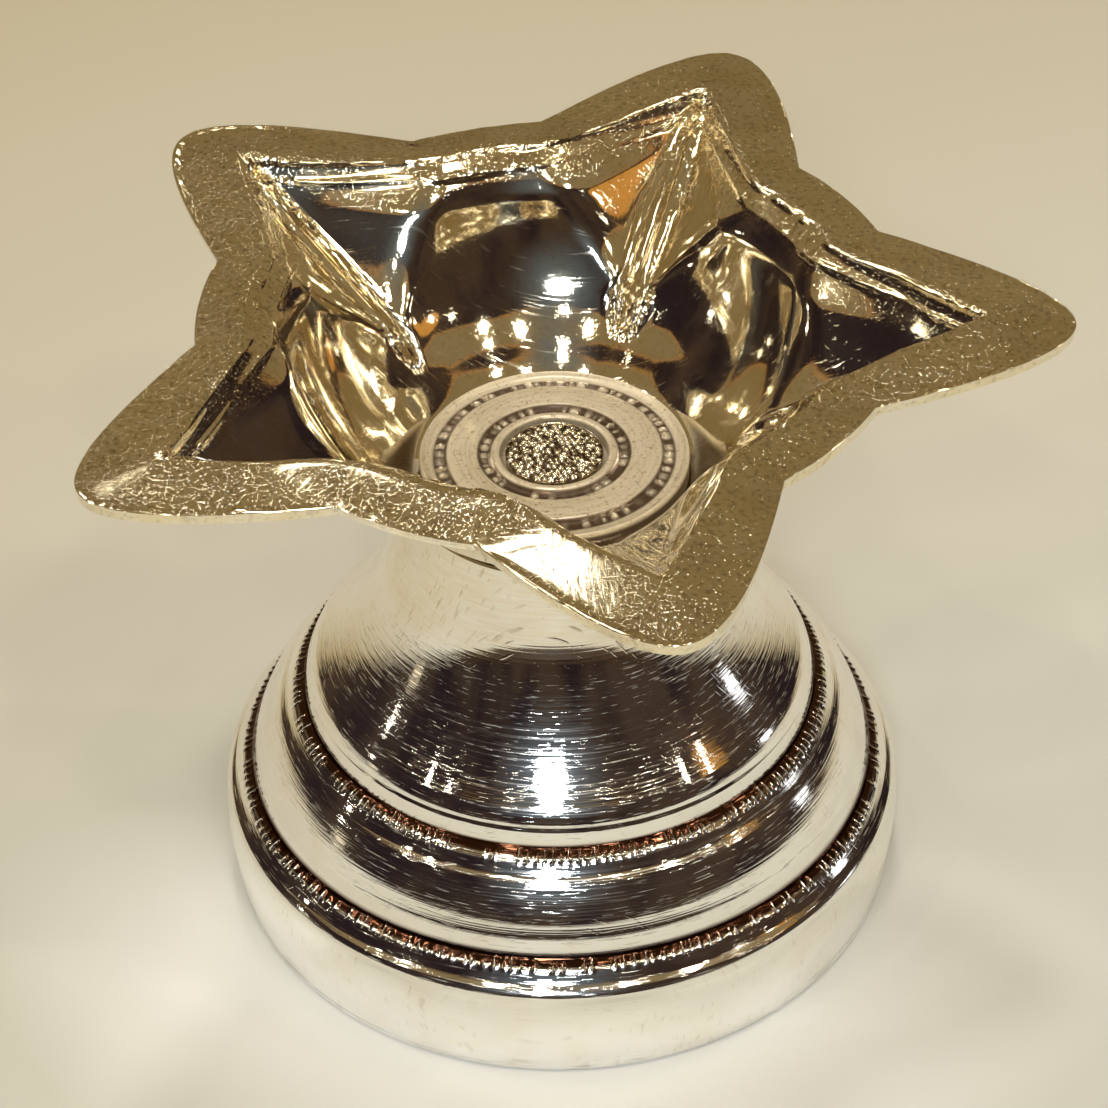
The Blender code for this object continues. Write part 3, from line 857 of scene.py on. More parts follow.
@dataclass
class StarDish:
    """The pressed dish: a round bowl, five spouts and a flange cut as five leaf tips."""

    spouts: int = 5
    sheet: float = 0.0006
    floor_level: float = 0.0279
    hole_radius: float = 0.0018
    flat_radius: float = 0.0079
    floor_width: float = 0.00205
    floor_rise: float = 0.0022
    floor_hollow: float = 1.15
    wall_flare: float = 0.00415
    wall_height: float = 0.0070
    wall_round: float = 0.0150
    roll_width: float = 0.0024
    roll_height: float = 0.0024
    roll_pull: Point = (0.0008, 0.0015)
    start_low: float = 0.0014
    start_reach: float = 0.0034
    start_climb: float = 0.0024
    rim_reach: float = 0.0071
    half_angle: float = math.radians(30)
    lip_half_angle: float = math.radians(36)
    tip_round: float = 0.0006
    shoulder: float = 0.0018
    valley_power: float = 0.77
    flange_width: float = 0.0028
    flange_droop: float = 0.0005
    leaf_reach: float = 0.0046
    leaf_root: float = math.radians(24.5)
    leaf_tip_fullness: float = 0.0027
    leaf_side_fullness: float = 0.0055
    leaf_side_lean: float = math.radians(25)
    bends: tuple[tuple[float, int, float], ...] = (
        (0.00040, 1, math.radians(15)),
        (0.00015, 2, math.radians(-10)),
        (0.00015, 3, math.radians(-70)),
    )
    dent: tuple[float, float, float] = (-0.00036, math.radians(-94), math.radians(15))
    crease_width: float = 0.0020
    crease_depth: float = 0.00008
    crease_half: Point = (0.00040, 0.00095)
    ridge_at: Point = (-0.0017, -0.0004)
    ridge_width: float = 0.00018
    ridge_height: float = 0.00013
    bead_at: float = 0.00014
    bead_height: float = 0.000065
    ridge_share: float = 0.42
    creases: tuple[tuple[float, float, float], ...] = (
        (0.8, 0.7, 0.3),
        (2.0, 2.2, 1.1),
        (1.9, 1.2, 4.0),
        (1.2, 0.9, 2.2),
        (0.6, 0.7, 5.1),
    )
    tip_steps: int = 10
    crease_steps: int = 20
    side_steps: int = 6
    shoulder_steps: int = 8
    arc_steps: int = 12
    fine_steps: int = 4
    least_open: float = 0.0015
    worn_reach: Point = (0.0002, 0.0016)
    worn_rise: Point = (0.0092, 0.0106)

    @property
    def floor_edge(self) -> float:
        """Radius where the floor meets the wall."""
        return self.flat_radius + self.floor_width

    @property
    def wall_top(self) -> Point:
        """Radius and rise where the wall starts to roll out."""
        return (self.floor_edge + self.wall_flare, self.floor_rise + self.wall_height)

    @property
    def rim(self) -> Point:
        """Radius and rise of the inner edge of the flange."""
        return (self.wall_top[0] + self.roll_width, self.wall_top[1] + self.roll_height)

    @property
    def tip_radius(self) -> float:
        """How far out the tip of a spout is."""
        return self.rim[0] + self.rim_reach

    def floor(self) -> list[Point]:
        """Half section of the floor.

        Returns:
            Radius and rise at each station.
        """
        stations = [(radius, 0.0) for radius in even(self.hole_radius, self.flat_radius, 5)]
        for share in even(0.0, 1.0, 10)[1:-1]:
            stations.append((self.flat_radius + self.floor_width * share, self.floor_rise * share**self.floor_hollow))
        return stations

    def wall(self) -> list[Point]:
        """Half section of the wall and of the roll that turns it out into the flange.

        Returns:
            Radius and rise at each station.
        """
        foot, top = (self.floor_edge, self.floor_rise), self.wall_top
        centre = arc_centre(foot, top, self.wall_round)
        angles = even(bearing(centre, foot), bearing(centre, top), 26)
        roll = [top, (top[0] + self.roll_pull[0], top[1] + self.roll_pull[1]), self.rim]
        return arc(centre, self.wall_round, angles) + [bezier(roll, share) for share in even(0.0, 1.0, 26)[1:]]

    def valley(self, rise: float) -> float:
        """How far out the valley of a spout is.

        Args:
            rise: Height above the floor's flat middle.

        Returns:
            The distance from the axis.
        """
        start, start_rise = self.floor_edge + self.start_reach, self.floor_rise + self.start_climb
        if rise < start_rise:
            share = max(rise - self.floor_rise - self.start_low, 0.0) / (self.start_climb - self.start_low)
            return self.floor_edge + self.start_reach * share
        left = max(self.rim[1] - rise, 0.0) / (self.rim[1] - start_rise)
        return self.tip_radius - (self.tip_radius - start) * left ** (1 / self.valley_power)

    def around(self, half: list[Point]) -> np.ndarray:
        """The whole outline, from half of one spout.

        Args:
            half: Points from the tip of the spout to the middle of the wall beside it.

        Returns:
            The points in a turn, as columns of x and y.
        """
        sector = np.array([(along, -across) for along, across in half[-2:0:-1]] + half)
        turns = []
        for spout in range(self.spouts):
            turn = 2 * math.pi * spout / self.spouts
            spin = np.array([[math.cos(turn), math.sin(turn)], [-math.sin(turn), math.cos(turn)]])
            turns.append(sector @ spin)
        return np.concatenate(turns)

    def half_spout(self, circle: float, reach: float, half_angle: float) -> np.ndarray:
        """Half of one spout of a level outline, in fine steps.

        Args:
            circle: Radius of the round wall.
            reach: How far out the tip is.
            half_angle: Angle between a side of the spout and its middle.

        Returns:
            Points from the tip to the middle of the wall beside it, as columns of x and y.
        """
        tip, slope = (max(reach, circle), 0.0), math.tan(half_angle)
        square, middle = 1 + slope**2, slope**2 * tip[0]
        along = (middle + math.sqrt(max(middle**2 - square * (middle * tip[0] - circle**2), 0.0))) / square
        corner = (along, slope * (tip[0] - along))
        corner_angle, wall_end = math.atan2(corner[1], corner[0]), math.pi / self.spouts
        length = max(math.dist(tip, corner), 1e-6)
        shoulder = min(self.shoulder, length / 3, circle * (wall_end - corner_angle) / 3)
        start = mix(tip, corner, min(self.tip_round, length / 3) / length)
        end = mix(corner, tip, shoulder / length)
        arc_start = corner_angle + shoulder / circle
        joined = (circle * math.cos(arc_start), circle * math.sin(arc_start))
        plain = max(math.dist(start, end), 1e-9)
        creased = mix(start, end, min(self.crease_width / plain, 0.5))

        fine = self.fine_steps
        nose = [(start[0], -start[1]), tip, start]
        half = [bezier(nose, share) for share in even(0.5, 1.0, fine * self.tip_steps)[:-1]]
        half += [mix(start, creased, share) for share in even(0.0, 1.0, fine * self.crease_steps)[:-1]]
        half += [mix(creased, end, share) for share in even(0.0, 1.0, fine * self.side_steps)[:-1]]
        bow = [end, corner, joined]
        half += [bezier(bow, share) for share in even(0.0, 1.0, fine * self.shoulder_steps)[:-1]]
        return np.array(half + arc((0.0, 0.0), circle, even(arc_start, wall_end, fine * self.arc_steps)))

    def half_outline(self, circle: float, reach: float, half_angle: float) -> list[Point]:
        """Half of one spout of a level outline, with columns that stay apart where the spout closes.

        Args:
            circle: Radius of the round wall.
            reach: How far out the tip is.
            half_angle: Angle between a side of the spout and its middle.

        Returns:
            Points from the tip to the middle of the wall beside it.
        """
        real = self.half_spout(circle, reach, half_angle)
        open_spout = self.half_spout(circle, max(reach, circle + self.least_open), half_angle)
        steps = [np.linalg.norm(np.diff(points, axis=0), axis=1) for points in (real, open_spout)]
        lengths, shares = (np.concatenate([[0.0], np.cumsum(step)]) for step in steps)
        places = lengths[-1] * shares[:: self.fine_steps] / shares[-1]
        return [tuple(np.interp(place, lengths, real[:, k]) for k in (0, 1)) for place in places]

    def leaf_outline(self) -> np.ndarray:
        """Outer outline of the flange: a circle with leaf-shaped tips.

        Returns:
            The points in a turn, as columns of x and y.
        """
        circle = self.rim[0] + self.flange_width
        tip = self.tip_radius + self.leaf_reach
        root = (circle * math.cos(self.leaf_root), circle * math.sin(self.leaf_root))
        pull = self.leaf_side_fullness
        side = (root[0] + pull * math.cos(self.leaf_side_lean), root[1] - pull * math.sin(self.leaf_side_lean))
        controls = [(tip, 0.0), (tip, self.leaf_tip_fullness), side, root]
        count = self.tip_steps + self.crease_steps + self.side_steps + self.shoulder_steps
        half = [bezier(controls, share**1.15) for share in even(0.0, 1.0, count)[:-1]]
        angles = even(self.leaf_root, math.pi / self.spouts, self.arc_steps)
        return self.around(half + [(circle * math.cos(a), circle * math.sin(a)) for a in angles])

    def bend(self, outline: np.ndarray) -> np.ndarray:
        """How far the flange is bent up by hand.

        Args:
            outline: Columns of x and y.

        Returns:
            The lift at each point, which fades out towards the bowl.
        """
        out = (np.hypot(outline[:, 0], outline[:, 1]) - self.wall_top[0]) / (self.roll_width + self.flange_width)
        angle = np.arctan2(outline[:, 1], outline[:, 0])
        lifts = sum(lift * np.cos(count * (angle - first)) for lift, count, first in self.bends)
        lift, middle, width = self.dent
        lifts = lifts + lift * np.exp(-(((angle - middle) / width) ** 2))
        return np.clip(out, 0.0, 1.0) ** 2 * lifts

    def level(self, outline: np.ndarray, rise: float) -> np.ndarray:
        """Puts an outline at its height.

        Args:
            outline: Columns of x and y.
            rise: Height above the floor's flat middle.

        Returns:
            The points of the row.
        """
        return np.column_stack([outline, self.floor_level + rise + self.bend(outline)])

    def faces(self) -> tuple[np.ndarray, np.ndarray]:
        """The upper and the under face of the sheet, before its creases.

        Returns:
            Rows, columns and coordinates of both faces, from the hole to the edge.
        """
        upper = []
        for radius, rise in self.floor() + self.wall():
            opened = max(rise - self.wall_top[1], 0.0) / self.roll_height
            angle = self.half_angle + (self.lip_half_angle - self.half_angle) * opened
            reach = self.valley(rise) if rise >= self.floor_rise else 0.0
            upper.append(self.level(self.around(self.half_outline(radius, reach, angle)), rise))
        rim = self.around(self.half_outline(self.rim[0], self.tip_radius, self.lip_half_angle))
        edge = self.leaf_outline()
        for share in self.flange_shares():
            upper.append(self.level(rim + (edge - rim) * share, self.rim[1] - self.flange_droop * share))
        upper = softened(np.array(upper), 3)
        normals = softened(outward(upper), 30)
        normals /= np.linalg.norm(normals, axis=2, keepdims=True)
        return upper, softened(upper - self.sheet * normals, 8)

    def flange_shares(self) -> list[float]:
        """Shares of the flange's width where its rows are, finer at both edges."""
        return even(0.0, self.ridge_share, 7)[1:] + even(self.ridge_share, 0.9, 4)[1:] + [0.93, 0.95, 0.97, 1.0]

    def ridges(self, upper: np.ndarray) -> np.ndarray:
        """The two fine ridges along the inner edge of the flange, and the bead along its outer edge.

        Args:
            upper: Rows, columns and coordinates of the upper face.

        Returns:
            Height of the ridges and the bead at each point.
        """
        draw = np.random.default_rng(8)
        steps = np.linalg.norm(np.diff(upper, axis=0), axis=2)
        along = np.concatenate([np.zeros((1, upper.shape[1])), np.cumsum(steps, axis=0)])
        away, inward = along - along[-len(self.flange_shares()) - 1], along[-1] - along
        turn = full_turn(upper.shape[1])
        height = np.zeros(upper.shape[:2])
        ridge, bead = self.ridge_height, self.bead_height
        lines = [(away, self.ridge_at[0], ridge), (away, self.ridge_at[1], ridge), (inward, self.bead_at, bead)]
        for distance, at, tall in lines:
            waves = [np.sin(count * turn + draw.uniform(0.0, 6.3)) for count in (7, 13, 29, 53, 97)]
            strong = np.clip(0.65 + 0.25 * np.sum(waves, axis=0), 0.1, 1.3)
            height += tall * strong * np.exp(-(((distance - at) / self.ridge_width) ** 2))
        return height

    def crease_map(self, upper: np.ndarray) -> np.ndarray:
        """The bundle of fine creases that the press left along the valley of each spout.

        Args:
            upper: Rows, columns and coordinates of the upper face.

        Returns:
            Height of the creases at each point.
        """
        rows, columns = upper.shape[:2]
        sector = columns // self.spouts
        tip = sector // 2 - 1
        height = np.zeros((rows, columns))
        rise = upper[..., 2] - self.floor_level
        for spout in range(self.spouts):
            strength, spread, phase = self.creases[spout]
            first = spout * sector
            part = upper[:, first : first + sector]
            steps = np.linalg.norm(np.diff(part, axis=1), axis=2)
            across = np.concatenate([np.zeros((rows, 1)), np.cumsum(steps, axis=1)], axis=1)
            across = across - across[:, tip : tip + 1]
            climb = (rise[:, first + tip] - self.floor_rise) / (self.rim[1] - self.floor_rise)
            climb = np.clip(climb, 0.0, 1.0)[:, None]
            half = self.crease_half[0] + spread * self.crease_half[1] * np.sin(math.pi * climb) ** 0.8
            share = np.clip(across / half, -1.0, 1.0)
            waves = np.cos(6.0 * math.pi * share + phase + 0.4 * np.sin(3.1 * climb + phase))
            waves = np.arcsin(waves) * 2 / math.pi
            ends = fade(0.0, 0.10, climb) * (1 - fade(0.94, 1.0, climb))
            height[:, first : first + sector] = strength * waves * (1 - share**4) * ends
        inside = np.arange(rows)[:, None] < rows - len(self.flange_shares())
        return self.crease_depth * height * inside

    def build(self) -> bpy.types.Object:
        """Makes the piece.

        Returns:
            The dish.
        """
        upper, under = self.faces()
        normals, creases = outward(upper), self.crease_map(upper)[..., None]
        under = under + creases * normals
        upper = upper + (creases + self.ridges(upper)[..., None]) * normals
        points = np.concatenate([upper, under[::-1]])
        rise = points[..., 2] - self.floor_level
        radius = np.hypot(points[..., 0], points[..., 1])
        low, high = (self.wall_top[0] + reach for reach in self.worn_reach)
        wear = fade(low, high, radius) * fade(*self.worn_rise, rise)
        return put(Skin("silver_dish", points, wear, 0 * wear).build(), "star_dish", PRESSED_SILVER)


@dataclass
class Rosette:
    """The turned ring plate on the floor of the dish, with two dashed grooves and an upturned rim."""

    level: float = 0.0282
    seat: float = 0.0005
    recess: float = 0.0008
    hole_radius: float = 0.0018
    recess_radius: float = 0.00306
    inner_groove: float = 0.00394
    outer_groove: float = 0.00644
    radius: float = 0.0076
    rim_dip: float = 0.00025
    rim_width: float = 0.00040
    rim_crest: float = 0.00012
    groove_width: float = 0.00076
    groove_depth: float = 0.00032
    band_crown: float = 0.00006
    dash_height: float = 0.00030
    dash_width: float = 0.00020
    dash_length: Point = (0.00024, 0.00070)
    columns: int = 720
    upper_from: float = 0.00045
    side_width: float = 0.00008
    side_rise: Point = (0.0008, 0.0011)

    def profile(self) -> np.ndarray:
        """Half section, as a closed loop.

        Returns:
            Radius and height of each point.
        """
        seat, half = self.level + self.seat, self.groove_width / 2
        top = seat + self.recess
        bottom, dip = top - self.groove_depth, top - self.rim_dip
        band = (self.inner_groove + self.outer_groove) / 2
        upper = [
            (self.recess_radius, seat),
            (self.recess_radius, top - self.band_crown),
            ((self.recess_radius + self.inner_groove - half) / 2, top),
            (self.inner_groove - half, top - self.band_crown),
            (self.inner_groove - 0.5 * half, bottom),
            (self.inner_groove + 0.5 * half, bottom),
            (self.inner_groove + half, top - self.band_crown),
            (band, top),
            (self.outer_groove - half, top - self.band_crown),
            (self.outer_groove - 0.5 * half, bottom),
            (self.outer_groove + 0.5 * half, bottom),
            (self.outer_groove + half, dip - self.band_crown),
            (self.radius - self.rim_width, dip),
            (self.radius - self.rim_crest, top - self.band_crown),
            (self.radius, dip),
            (self.radius, self.level),
        ]
        fine = softened(np.array(subdivided(upper, 0.00007)), 2)
        coarse = subdivided([(self.radius, self.level), (self.hole_radius, self.level)], 0.0015)[1:]
        coarse += [(self.hole_radius, seat)]
        return np.concatenate([fine, np.array(coarse)])

    def dashes(self, at: float, draw: np.random.Generator) -> np.ndarray:
        """The short raised dashes that stand in a groove.

        Args:
            at: Radius of the groove.
            draw: Source of the chances.

        Returns:
            Height of the dashes at each column, from 0 to 1.
        """
        step = 2 * math.pi * at / self.columns
        places = step * np.arange(self.columns)
        heights, start = np.zeros(self.columns), 0.0
        while start < places[-1]:
            length = draw.uniform(*self.dash_length)
            share = np.clip((places - start) / length, 0.0, 1.0)
            heights = np.maximum(heights, draw.uniform(0.05, 1.0) * np.sin(math.pi * share) ** 0.6)
            start += length + draw.exponential(1.2 * self.dash_length[0])
        return heights

    def build(self) -> bpy.types.Object:
        """Makes the piece.

        Returns:
            The rosette.
        """
        draw = np.random.default_rng(17)
        points = turned(self.profile(), full_turn(self.columns))
        radius = np.hypot(points[..., 0], points[..., 1])
        upper = points[..., 2] > self.level + self.upper_from
        wear, tarnish_and_painted_shade = np.zeros(radius.shape), np.zeros(radius.shape)
        for at in (self.inner_groove, self.outer_groove):
            dash = self.dashes(at, draw)[None, :]
            near = np.exp(-(((radius - at) / self.dash_width) ** 2)) * upper
            groove = (1 - fade(0.42 * self.groove_width, 0.62 * self.groove_width, np.abs(radius - at))) * upper
            points[..., 2] += self.dash_height * near * dash
            wear = np.maximum(wear, near * dash)
            tarnish_and_painted_shade = np.maximum(tarnish_and_painted_shade, groove * (1 - np.clip(1.6 * near * dash, 0.0, 1.0)))
        low = 1 - fade(*self.side_rise, points[..., 2] - self.level)
        side = (radius > self.radius - self.side_width) * low
        tarnish_and_painted_shade = np.maximum(tarnish_and_painted_shade, side)
        return put(Skin("silver_rosette", points, wear, tarnish_and_painted_shade).build(), "rosette", SATIN_SILVER)


@dataclass
class CentreRivet:
    """The rivet through the whole stack: a peened head above, and a tail closed over the washer below."""

    head_seat: float = 0.0290
    head_radius: float = 0.00276
    head_edge: float = 0.0003
    head_crown: float = 0.0003
    shank_radius: float = 0.0015
    tail_radius: float = 0.0026
    tail_seat: float = 0.0246
    tail_height: float = 0.0008
    tail_bevel: Point = (0.00025, 0.00030)
    tail_dip: float = 0.00006
    pebble: float = 0.00036
    pebble_height: float = 0.00020
    columns: int = 320

    def pebbles(self) -> np.ndarray:
        """Centres of the small domes that the peening left.

        Returns:
            Columns of x and y.
        """
        draw = np.random.default_rng(3)
        count = int(self.head_radius / self.pebble) + 2
        centres = []
        for row in range(-count, count + 1):
            for column in range(-count, count + 1):
                x = self.pebble * (column + 0.5 * (row % 2)) + self.pebble * draw.uniform(-0.25, 0.25)
                y = self.pebble * 0.866 * row + self.pebble * draw.uniform(-0.25, 0.25)
                if math.hypot(x, y) < self.head_radius * 0.96:
                    centres.append((x, y))
        return np.array(centres)

    def build(self) -> bpy.types.Object:
        """Makes the piece.

        Returns:
            The rivet.
        """
        crown = []
        for share in even(0.0, 1.0, 52):
            radius = self.head_radius * share
            lift = self.head_crown * math.sqrt(max(1 - share**2, 0.0))
            crown.append((radius, self.head_seat + self.head_edge + lift - self.pebble_height * 0.4 * (share < 1)))
        low = self.tail_seat - self.tail_height
        shank = [
            (self.head_radius, self.head_seat),
            (self.shank_radius, self.head_seat),
            (self.shank_radius, self.tail_seat),
            (self.tail_radius, self.tail_seat),
            (self.tail_radius - self.tail_bevel[0], self.tail_seat - self.tail_bevel[1]),
            (self.shank_radius, low + self.tail_dip),
            (self.shank_radius * 0.5, low),
            (0.0, low),
        ]
        profile = np.array(crown + subdivided(shank, 0.0004))
        points = turned(profile, full_turn(self.columns))
        centres = self.pebbles()
        flat = points[..., :2].reshape(-1, 1, 2)
        apart = [np.linalg.norm(block - centres, axis=2) for block in np.array_split(flat, 40)]
        nearest = np.concatenate([block.min(axis=1) for block in apart]).reshape(points.shape[:2])
        chosen = np.concatenate([block.argmin(axis=1) for block in apart]).reshape(points.shape[:2])
        tall = np.random.default_rng(4).uniform(0.15, 1.0, len(centres))[chosen]
        dome = tall * np.clip(1 - (nearest / (0.58 * self.pebble)) ** 2, 0.0, 1.0)
        on_head = (np.arange(len(profile)) < len(crown) - 1)[:, None]
        points[..., 2] += self.pebble_height * dome * on_head
        wear, tarnish_and_painted_shade = dome**2 * on_head, np.clip(1.35 - 2.4 * dome, 0.0, 1.0) * on_head
        return put(Skin("silver_rivet", points, wear, tarnish_and_painted_shade, looped=False).build(), "centre_rivet", PEENED_SILVER)


@dataclass
class RivetWasher:
    """The washer inside the neck, with rounded edges, that the rivet's tail is closed over."""

    top: float = 0.0257
    thickness: float = 0.0008
    radius: float = 0.0042
    hole_radius: float = 0.0018
    columns: int = 192

    def build(self) -> bpy.types.Object:
        """Makes the piece.

        Returns:
            The washer.
        """
        low = self.top - self.thickness
        corners = [
            (self.hole_radius, self.top),
            (self.radius, self.top),
            (self.radius, low),
            (self.hole_radius, low),
            (self.hole_radius, self.top),
        ]
        profile = softened(np.array(subdivided(corners, 0.00012)), 3)[:-1]
        points = turned(profile, full_turn(self.columns))
        wear = np.zeros(points.shape[:2])
        return put(Skin("silver_washer", points, wear, wear + 0.1).build(), "rivet_washer", SATIN_SILVER)


@dataclass(frozen=True)
class Lamp:
    """One lamp of the room.

    Attributes:
        azimuth: Where it hangs, in degrees round from the camera, to the right as seen from there.
        elevation: How high it hangs above the lamp's middle, in degrees.
        distance: How far away it is.
        width: Width of its face.
        length: Length of its face.
        watts: Its power.
        colour: Its colour.
    """

    azimuth: float
    elevation: float
    distance: float
    width: float
    length: float
    watts: float
    colour: Colour


WARM = (1.0, 0.90, 0.70)
FAR_WARM = (1.0, 0.92, 0.74)
SOFT_WHITE = (1.0, 0.97, 0.90)


@dataclass
class PhotoCamera:
    """The camera of the photograph, in the photograph's own pixels."""

    pixels: float = 1108.0
    focal_pixels: float = 3300.0
    centre_x: float = 556.52
    back: float = 0.14558
    height: float = 0.14374
    pitch: float = math.radians(39.93)
    roll: float = math.radians(-1.28)
    turn: float = PHOTO_TURN
    sensor: float = 36.0

    def build(self) -> bpy.types.Object:
        """Makes the camera and gives it to the scene.

        Returns:
            The camera.
        """
        data = bpy.data.cameras.new("photo_camera")
        data.sensor_width = self.sensor
        data.lens = self.sensor * self.focal_pixels / self.pixels
        data.shift_x = (self.pixels / 2 - self.centre_x) / self.pixels
        data.clip_start = 0.001
        right = Vector((1.0, 0.0, 0.0))
        ahead = Vector((0.0, math.cos(self.pitch), -math.sin(self.pitch)))
        up = Vector((0.0, math.sin(self.pitch), math.cos(self.pitch)))
        tilted = right * math.cos(self.roll) + up * math.sin(self.roll)
        upright = up * math.cos(self.roll) - right * math.sin(self.roll)
        pose = Matrix((tilted, upright, -ahead)).transposed().to_4x4()
        pose.translation = (0.0, -self.back, self.height)
        camera = bpy.data.objects.new("photo_camera", data)
        bpy.context.scene.collection.objects.link(camera)
        camera.matrix_world = Matrix.Rotation(self.turn, 4, "Z") @ pose
        bpy.context.scene.camera = camera
        return camera


@dataclass
class Studio:
    """The pale floor with painted shade and a painted pool of light, the room's dim warm light and its lamps."""

    floor_half: float = 1.6
    floor_level: float = -0.00005
    table_front: float = 0.21
    floor_near: Colour = (0.675, 0.685, 0.665)
    floor_far_painted_shade: Colour = (0.455, 0.39, 0.25)
    painted_light_pool_colour: Colour = (0.94, 0.96, 0.98)
    background: Colour = (0.60, 0.50, 0.32)
    wall_colour: Colour = (0.020, 0.012, 0.013)
    wall_patch: Colour = (0.052, 0.033, 0.021)
    cornice_colour: Colour = (0.34, 0.18, 0.06)
    ceiling_colour: Colour = (0.22, 0.16, 0.075)
    ceiling_near: float = 0.70
    ceiling_side: float = 0.56
    ceiling_far: float = 0.06
    halo_colour: Colour = (0.11, 0.13, 0.145)
    turn: float = PHOTO_TURN
    key_lamps: tuple[Lamp, ...] = (
        Lamp(-5, 36, 1.0, 0.20, 0.095, 2.5, (0.88, 0.95, 1.0)),
        Lamp(94, 9, 1.2, 0.14, 0.16, 0.14, (0.95, 0.97, 1.0)),
        Lamp(-82, 4, 1.2, 0.12, 0.09, 0.03, (1.0, 0.88, 0.62)),
        Lamp(-86, 17, 1.2, 0.03, 0.03, 0.08, (1.0, 0.92, 0.75)),
        Lamp(-62, 33, 1.3, 0.03, 0.03, 0.10, WARM),
        Lamp(-54, 38, 1.3, 0.03, 0.03, 0.10, WARM),
        Lamp(58, 34, 1.3, 0.03, 0.03, 0.10, WARM),
        Lamp(68, 29, 1.3, 0.03, 0.03, 0.10, WARM),
        Lamp(71, 30, 1.3, 0.30, 0.12, 0.045, (1.0, 0.45, 0.06)),
        Lamp(-149, 55, 1.3, 0.17, 0.13, 0.6, SOFT_WHITE),
        Lamp(-155, 48.5, 1.3, 0.12, 0.09, 0.20, SOFT_WHITE),
        Lamp(162, 20, 1.4, 0.03, 0.03, 0.10, FAR_WARM),
        Lamp(188, 30, 1.4, 0.03, 0.03, 0.10, FAR_WARM),
        Lamp(201, 14, 1.4, 0.03, 0.03, 0.10, FAR_WARM),
        Lamp(182, 74, 1.2, 0.16, 0.16, 3.2, (1.0, 0.96, 0.88)),
    )
    rings: tuple[tuple[float, int, float], ...] = ((49, 15, 17), (66, 7, 10))
    ring_lamp: Lamp = Lamp(0, 0, 1.5, 0.09, 0.05, 0.95, WARM)
    far_side: float = 50
    halo_half: float = math.radians(26)
    middle: float = 0.02

    def ring_lamps(self) -> list[Lamp]:
        """The small warm lamps that hang round the room in rings.

        Returns:
            The lamps, each a little off its even place.
        """
        draw = np.random.default_rng(21)
        lamps = []
        for elevation, count, first in self.rings:
            for number in range(count):
                azimuth = first + 360 * number / count + draw.uniform(-9.0, 9.0)
                height = elevation + draw.uniform(-5.0, 5.0)
                if abs(azimuth % 360 - 180) > self.far_side:
                    lamps.append(replace(self.ring_lamp, azimuth=azimuth, elevation=height))
        return lamps

    def floor(self) -> bpy.types.Object:
        """Makes the floor: a pale table with painted shade towards the back and the left, and a painted pool of light
        in front of the foot.

        Returns:
            The floor.
        """
        half = self.floor_half
        corners = [(-half, -half), (half, -half), (half, half), (-half, half)]
        mesh = bpy.data.meshes.new("floor")
        mesh.from_pydata([(x, y, self.floor_level) for x, y in corners], [], [(0, 1, 2, 3)])
        material = bpy.data.materials.new("pale_table")
        material.use_nodes = True
        graph = Graph(material.node_tree)
        place = graph.add("TexCoord").outputs["Object"]
        x, y, _ = graph.add("SeparateXYZ", {0: place}).outputs
        cloud = graph.noise(place, 5.0, 2.0)
        # Painted shade: the table darkens and yellows towards the back and the left, mottled by noise.
        share = graph.plus(graph.span(y, -0.06, 0.16), graph.span(cloud, 0.3, 0.7, -0.1, 0.1))
        share = graph.plus(share, graph.span(x, -0.06, 0.06, 0.06, -0.22))
        # Painted light: a paler pool on the table in front of the foot, where the foot throws light.
        away = graph.add("VectorMath", {0: place}, operation="LENGTH").outputs["Value"]
        painted_light_share = graph.times(graph.span(away, 0.036, 0.021), graph.span(y, 0.0, -0.015))
        mirrored = graph.math("SUBTRACT", 1.0, graph.add("LightPath").outputs["Is Camera Ray"])
        beyond = graph.times(mirrored, graph.span(y, -self.table_front, -self.table_front - 0.01))
        shader = material.node_tree.nodes["Principled BSDF"]
        colour = graph.blend(painted_light_share, graph.blend(share, self.floor_near, self.floor_far_painted_shade), self.painted_light_pool_colour)
        colour = graph.blend(beyond, colour, self.wall_patch)
        graph.tree.links.new(colour, shader.inputs["Base Color"])
        shader.inputs["Roughness"].default_value = 0.6
        shader.inputs["Specular IOR Level"].default_value = 0.15
        mesh.materials.append(material)
        floor = bpy.data.objects.new("floor", mesh)
        bpy.context.scene.collection.objects.link(floor)
        return floor

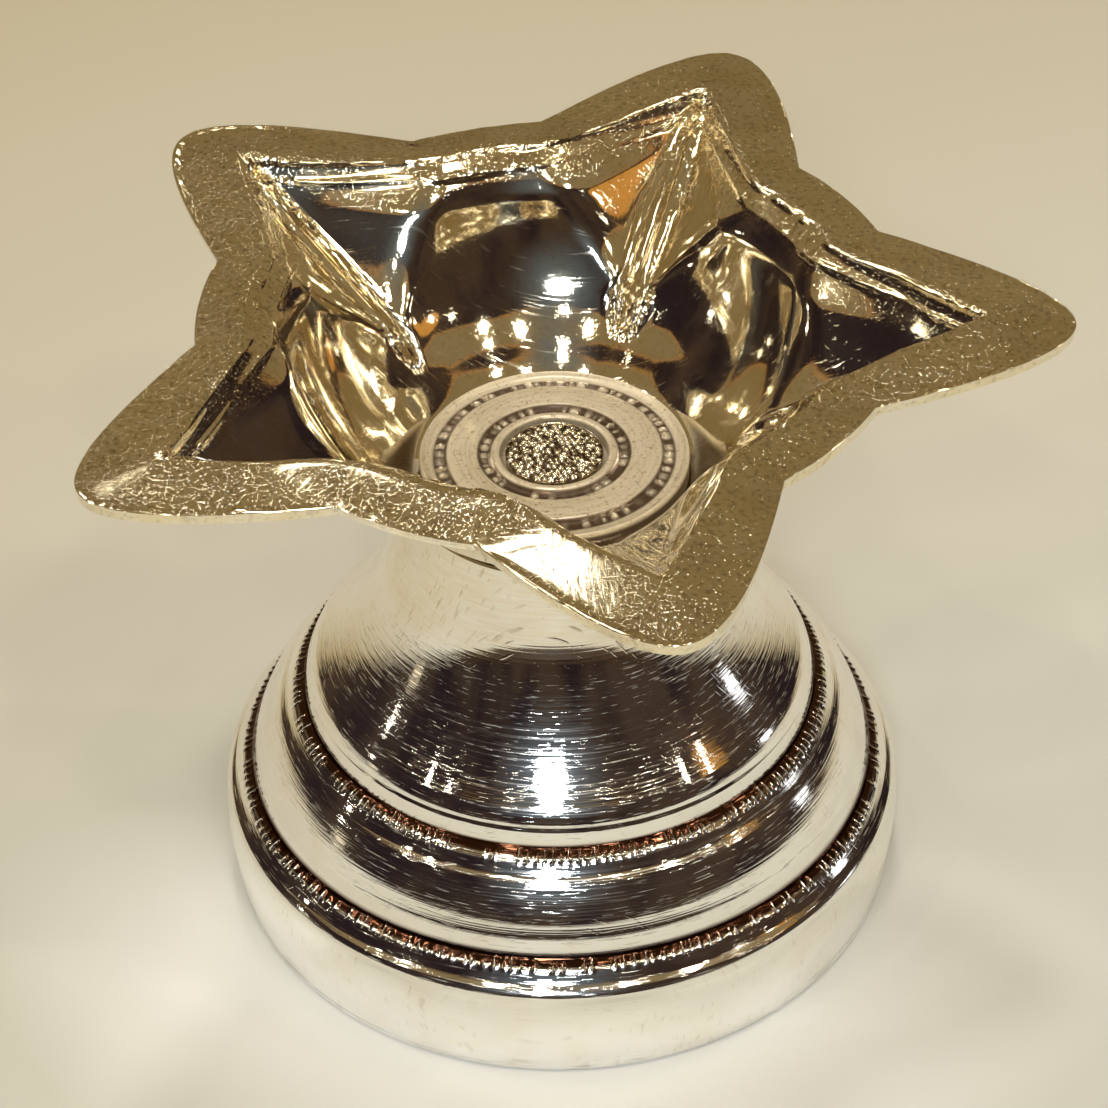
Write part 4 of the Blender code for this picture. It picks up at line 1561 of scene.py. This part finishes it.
    def world(self) -> None:
        """Makes the dim room: dark walls, a cornice and an olive ceiling, with a plain pale backdrop for the camera."""
        world = bpy.data.worlds.new("room")
        world.use_nodes = True
        bpy.context.scene.world = world
        graph = Graph(world.node_tree)
        direction = graph.add("TexCoord").outputs["Generated"]
        x, y, z = graph.add("SeparateXYZ", {0: direction}).outputs
        north, east = graph.times(y, math.cos(self.turn)), graph.times(x, math.sin(self.turn))
        ahead = graph.math("SUBTRACT", north, east)
        upright = graph.add("Mapping", {"Vector": direction, "Scale": (3.4, 3.4, 1.2)}).outputs[0]
        patches = graph.span(graph.noise(upright, 1.0, 3.0), 0.42, 0.6)
        wall = graph.blend(patches, self.wall_colour, self.wall_patch)
        edge = graph.span(ahead, -0.6, -0.25, self.ceiling_near, self.ceiling_side)
        edge = graph.plus(edge, graph.span(ahead, 0.2, 0.75, 0.0, self.ceiling_far - self.ceiling_side))
        above = graph.plus(graph.math("SUBTRACT", z, edge), graph.span(patches, 0.0, 1.0, -0.004, 0.004))
        room = graph.blend(graph.span(above, -0.012, -0.008), wall, self.cornice_colour)
        room = graph.blend(graph.span(above, 0.0, 0.006), room, self.ceiling_colour)
        towards = tuple(self.direction(self.key_lamps[0]))
        facing = graph.add("VectorMath", {0: direction, 1: towards}, operation="DOT_PRODUCT").outputs["Value"]
        halo = graph.math("POWER", graph.span(facing, math.cos(self.halo_half), 1.0), 2.0)
        room = graph.blend(halo, room, self.halo_colour)
        seen = graph.add("LightPath").outputs["Is Camera Ray"]
        shader = world.node_tree.nodes["Background"]
        graph.tree.links.new(graph.blend(seen, room, self.background), shader.inputs["Color"])

    def direction(self, lamp: Lamp) -> Vector:
        """Direction of a lamp.

        Args:
            lamp: The lamp.

        Returns:
            The unit vector from the middle of the oil lamp.
        """
        azimuth, elevation = math.radians(lamp.azimuth - 90) + self.turn, math.radians(lamp.elevation)
        level = math.cos(elevation)
        return Vector((math.cos(azimuth) * level, math.sin(azimuth) * level, math.sin(elevation)))

    def hang(self, number: int, lamp: Lamp) -> bpy.types.Object:
        """Hangs one lamp.

        Args:
            number: Number of the lamp, for its name.
            lamp: The lamp.

        Returns:
            The light.
        """
        data = bpy.data.lights.new(f"lamp_{number}", "AREA")
        data.shape = "ELLIPSE"
        data.size, data.size_y = lamp.width, lamp.length
        data.energy, data.color = lamp.watts, lamp.colour
        direction = self.direction(lamp)
        light = bpy.data.objects.new(data.name, data)
        light.location = direction * lamp.distance + Vector((0.0, 0.0, self.middle))
        light.rotation_euler = (-direction).to_track_quat("-Z", "Y").to_euler()
        bpy.context.scene.collection.objects.link(light)
        return light

    def build(self) -> None:
        """Makes the floor, the room and the lamps, and keeps the colours as they are lit."""
        self.floor()
        self.world()
        for number, lamp in enumerate([*self.key_lamps, *self.ring_lamps()], 1):
            self.hang(number, lamp)
        view = bpy.context.scene.view_settings
        view.view_transform = "Standard"
        view.look = "None"


def main() -> None:
    """Builds the camera, the studio and each piece of the lamp, in that order."""
    logging.basicConfig(level=logging.INFO, format="%(name)s: %(message)s")
    PhotoCamera().build()
    Studio().build()
    for maker in (FootShell(), StarDish(), Rosette(), CentreRivet(), RivetWasher()):
        maker.build()


if __name__ == "__main__":
    main()
